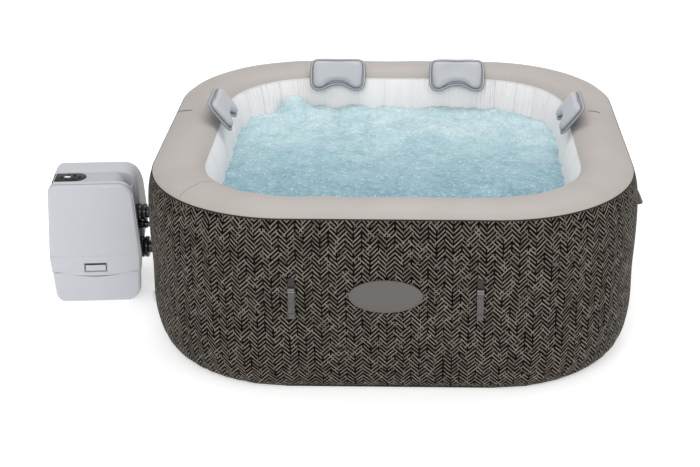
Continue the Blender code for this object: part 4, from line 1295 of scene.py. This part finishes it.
def build_front():
    """The front cover over the base tray, with the curved joint between them."""
    rows = np.concatenate([np.linspace(SEAM_LOW, 0.127, 7)[:-1], np.linspace(0.127, 0.176, 42)[:-1],
                           np.linspace(0.176, 0.1950, 7)[:-1], np.linspace(0.1950, 0.2010, 9)[:-1],
                           np.linspace(0.2010, 0.440, 30)[:-1],
                           PUMP_HEIGHT - 0.057 * (1 - np.sin(np.linspace(0, math.pi / 2, 26)))])

    def sides(heights):
        return side_x(heights, False, radius=0.026), side_x(heights, True, radius=0.055)

    def seam(x, z):
        return (seam_height(x) - SEAM_LOW) * ease(z, 0.130, SEAM_LOW)

    mesh = faced_block("front_shell", rows, sides, 0.0112, cover_face, seam)
    piece("front_shell", mesh, "tub", "pump_plastic", at=PUMP, stands_for=["front_cover"], sharp=50)

    rows = np.concatenate([0.058 * (1 - np.cos(np.linspace(0, math.pi / 2, 20)))[:-1],
                           np.linspace(0.058, SEAM_LOW - 0.0010, 12)])

    def base_sides(heights):
        return side_x(heights, False, foot=0.035) + 0.0012, side_x(heights, True, foot=0.058) - 0.0012

    def base_seam(x, z):
        gap = 0.0050 * ease(np.abs(x), 0.135, 0.01)
        return (seam_height(x) - SEAM_LOW - gap) * ease(z, 0.060, SEAM_LOW)

    mesh = faced_block("base_shell", rows, base_sides, PUMP_DEPTH - 0.001, base_face, base_seam)
    piece("base_shell", slim_rear(mesh), "tub", "pump_plastic", at=PUMP, stands_for=["pump_base"],
          sharp=50)
    # Black bars paint the shadow in the joint under the cover and on the floor of the hand recess.
    for name, low, high in (("seam_shadow", (-0.140, 0.0088, 0.1040), (0.140, 0.0108, 0.1300)),
                            ("latch_shadow", (-0.0440, 0.0086, 0.1340), (0.0400, 0.0090, 0.1675))):
        piece(name, bar(name, low, high, 0.0001), "tub", "black_plastic", painted_gap_shadow, at=PUMP)
    tab = bar("latch_plate", (LATCH_LOW[0] + 0.0050, 0.0012, LATCH_LOW[1] + 0.0042),
              (LATCH_HIGH[0] - 0.0046, 0.0046, LATCH_HIGH[1] - 0.0084), 0.0009)
    piece("latch_plate", tab, "latch_tab", "pump_plastic", at=PUMP, stands_for=["latch_tab"])


def crown_at(depth, radius=0.11):
    """Height of the rear hood's crown, which curves down towards the back."""
    past = max(0.0, depth - (PUMP_DEPTH - radius)) / radius
    return PUMP_HEIGHT - radius * (1 - math.sqrt(max(0.0, 1 - past ** 2)))


def build_ledge():
    """The ledge behind the front cover, and a black bead in the gap between the two that paints the gap's
    shadow.
    """
    profile = [(0.0085, 0.0108), (0.0085, 0.0150), (0.0030, 0.0162), (0.0016, 0.0185), (0.0012, 0.0240),
               (0.0022, 0.0330), (0.0024, 0.0400), (0.0008, 0.0440), (0.0010, 0.0480), (0.0030, 0.0515),
               (0.0070, 0.0535)]
    rings = [(outline(COVER_LOW, inset), depth) for inset, depth in profile]
    piece("ledge_shell", loft("ledge_shell", rings), "tub", "pump_plastic", at=PUMP, sharp=40)
    gap = tube("cover_gap_shadow", upright(outline(COVER_LOW, 0.0020), 0.0182), 0.0025, 6)
    piece("cover_gap_shadow", gap, "tub", "black_plastic", painted_gap_shadow, at=PUMP, sharp=180)


def build_channel():
    """The channel between the ledge and the rear hood, in a darker copy of the pump plastic that paints its
    shade, with a black bar along its upper left edge that paints the shadow in a slit.
    """
    rings = []
    for depth, fall in ((0.0500, 0.0), (0.0560, 0.45), (0.0650, 0.8), (0.0850, 1.0), (0.1250, 1.0),
                        (0.1450, 0.9), (0.1560, 0.8)):
        rings.append((outline(COVER_LOW, left=0.0040 + 0.002 * fall, right=0.020 + 0.022 * fall,
                              top=0.0050 + 0.0020 * fall, radii=(0.026, 0.085)), depth))
    # The channel is drawn in darker plastic than the covers: painted shade.
    piece("channel_shell", loft("channel_shell", rings), "tub", "pump_plastic", shaded_channel_plastic,
          at=PUMP, stands_for=["centre_band"], sharp=40)
    # A black bar paints the shadow in a slit along the channel's upper left edge.
    slit = bar("channel_slit_shadow", (-0.1520, 0.0560, 0.4800), (-0.1482, 0.1490, 0.4912), 0.0004)
    piece("channel_slit_shadow", slit, "tub", "black_plastic", painted_gap_shadow, at=PUMP)


def cut_vents(hood):
    """Cut five vent slots into the back of the rear hood."""
    vents = [bar("vent", (-0.09, 0.331, 0.20 + 0.022 * i), (0.09, 0.36, 0.208 + 0.022 * i), 0.003)
             for i in range(5)]
    cutter = put("vents", joined("vents", vents))
    cutter.data.transform(PUMP)
    cut = hood.modifiers.new("vents", "BOOLEAN")
    cut.object = cutter
    bpy.context.view_layer.update()
    made = evaluated(hood)
    hood.modifiers.clear()
    hood.data = made
    bpy.data.objects.remove(cutter)


def build_rear_hood():
    """The rear hood with its vents, and a short rib at the upper right of the channel."""
    rings = [(outline(COVER_LOW, inset), depth) for inset, depth in (
        (0.0200, 0.1500), (0.0060, 0.1504), (0.0022, 0.1522), (0.0005, 0.1550), (0.0, 0.1600))]
    for depth in [*np.linspace(0.20, 0.30, 8), *np.linspace(0.31, PUMP_DEPTH - 0.008, 8)]:
        rings.append((outline(COVER_LOW, 0.0, crown=crown_at(depth)), depth))
    for back, inset in ((0.0045, 0.0010), (0.0020, 0.0030), (0.0006, 0.0060), (0.0, 0.0095)):
        rings.append((outline(COVER_LOW, inset, crown=crown_at(PUMP_DEPTH - back)), PUMP_DEPTH - back))
    mesh = slim_rear(loft("rear_shell", rings))
    hood = piece("rear_shell", mesh, "tub", "pump_plastic", at=PUMP, stands_for=["rear_cover"], sharp=40)
    cut_vents(hood)
    path = [(0.1400, 0.0800, 0.4300), (0.1450, 0.1000, 0.4420), (0.1500, 0.1250, 0.4520)]
    piece("channel_rib", tube("channel_rib", path, 0.0028, 10, closed=False), "tub", "pump_plastic",
          at=PUMP, sharp=180)


PANEL_BACK = 0.0415      # half-depth of the control panel
PANEL_PLACE = (-0.0650, 0.1045)


def panel_outline(inset):
    """The control panel's outline: square at its left end, round at its right."""
    half = PANEL_BACK - inset
    turns = np.linspace(-math.pi / 2, math.pi / 2, 33)
    end = np.stack([PANEL_PLACE[0] + half * np.cos(turns), PANEL_PLACE[1] + half * np.sin(turns)], axis=1)
    left = -0.1445 + inset
    corners = []
    for side in (1, -1):
        for turn in np.linspace(0, math.pi / 2, 7):
            swing = turn if side > 0 else math.pi / 2 - turn
            corners.append((left + 0.004 - 0.004 * math.sin(swing),
                            PANEL_PLACE[1] + side * (half - 0.004 + 0.004 * math.cos(swing))))
    return np.vstack([end, np.array(corners)])


def flat_plate(name, shape, low, high, edge):
    """A plate with an eased upper edge, from an outline maker shape(inset)."""
    rows = [(shape(0.0), low), (shape(0.0), high - edge), (shape(edge * 0.4), high - edge * 0.3),
            (shape(edge), high)]
    points = np.array([np.column_stack([line, np.full(len(line), height)]) for line, height in rows])
    return grid_mesh(name, points, (False, True), caps=True)


def build_panel():
    """The gloss control panel in its shallow frame: its display and keys are the part's own."""
    frame_plate = flat_plate("panel_frame", lambda inset: panel_outline(inset - 0.0035),
                             0.4895, 0.4922, 0.0010)
    piece("panel_frame", frame_plate, "tub", "pump_plastic", at=PUMP)
    plate = flat_plate("panel_plate", panel_outline, 0.4905, 0.4940, 0.0008)
    piece("panel_plate", plate, "tub", "panel_plastic", at=PUMP, stands_for=["control_panel"])


# --- Assembly ------------------------------------------------------------------------------------
add_camera()
add_stage()
build_skins()
build_welts()
build_rim_creases()
build_water()
build_badge()
build_headrests()
build_straps()
build_nuts()
build_wall_flanges()
build_valves()
build_hood()
build_front()
build_ledge()
build_channel()
build_rear_hood()
build_panel()
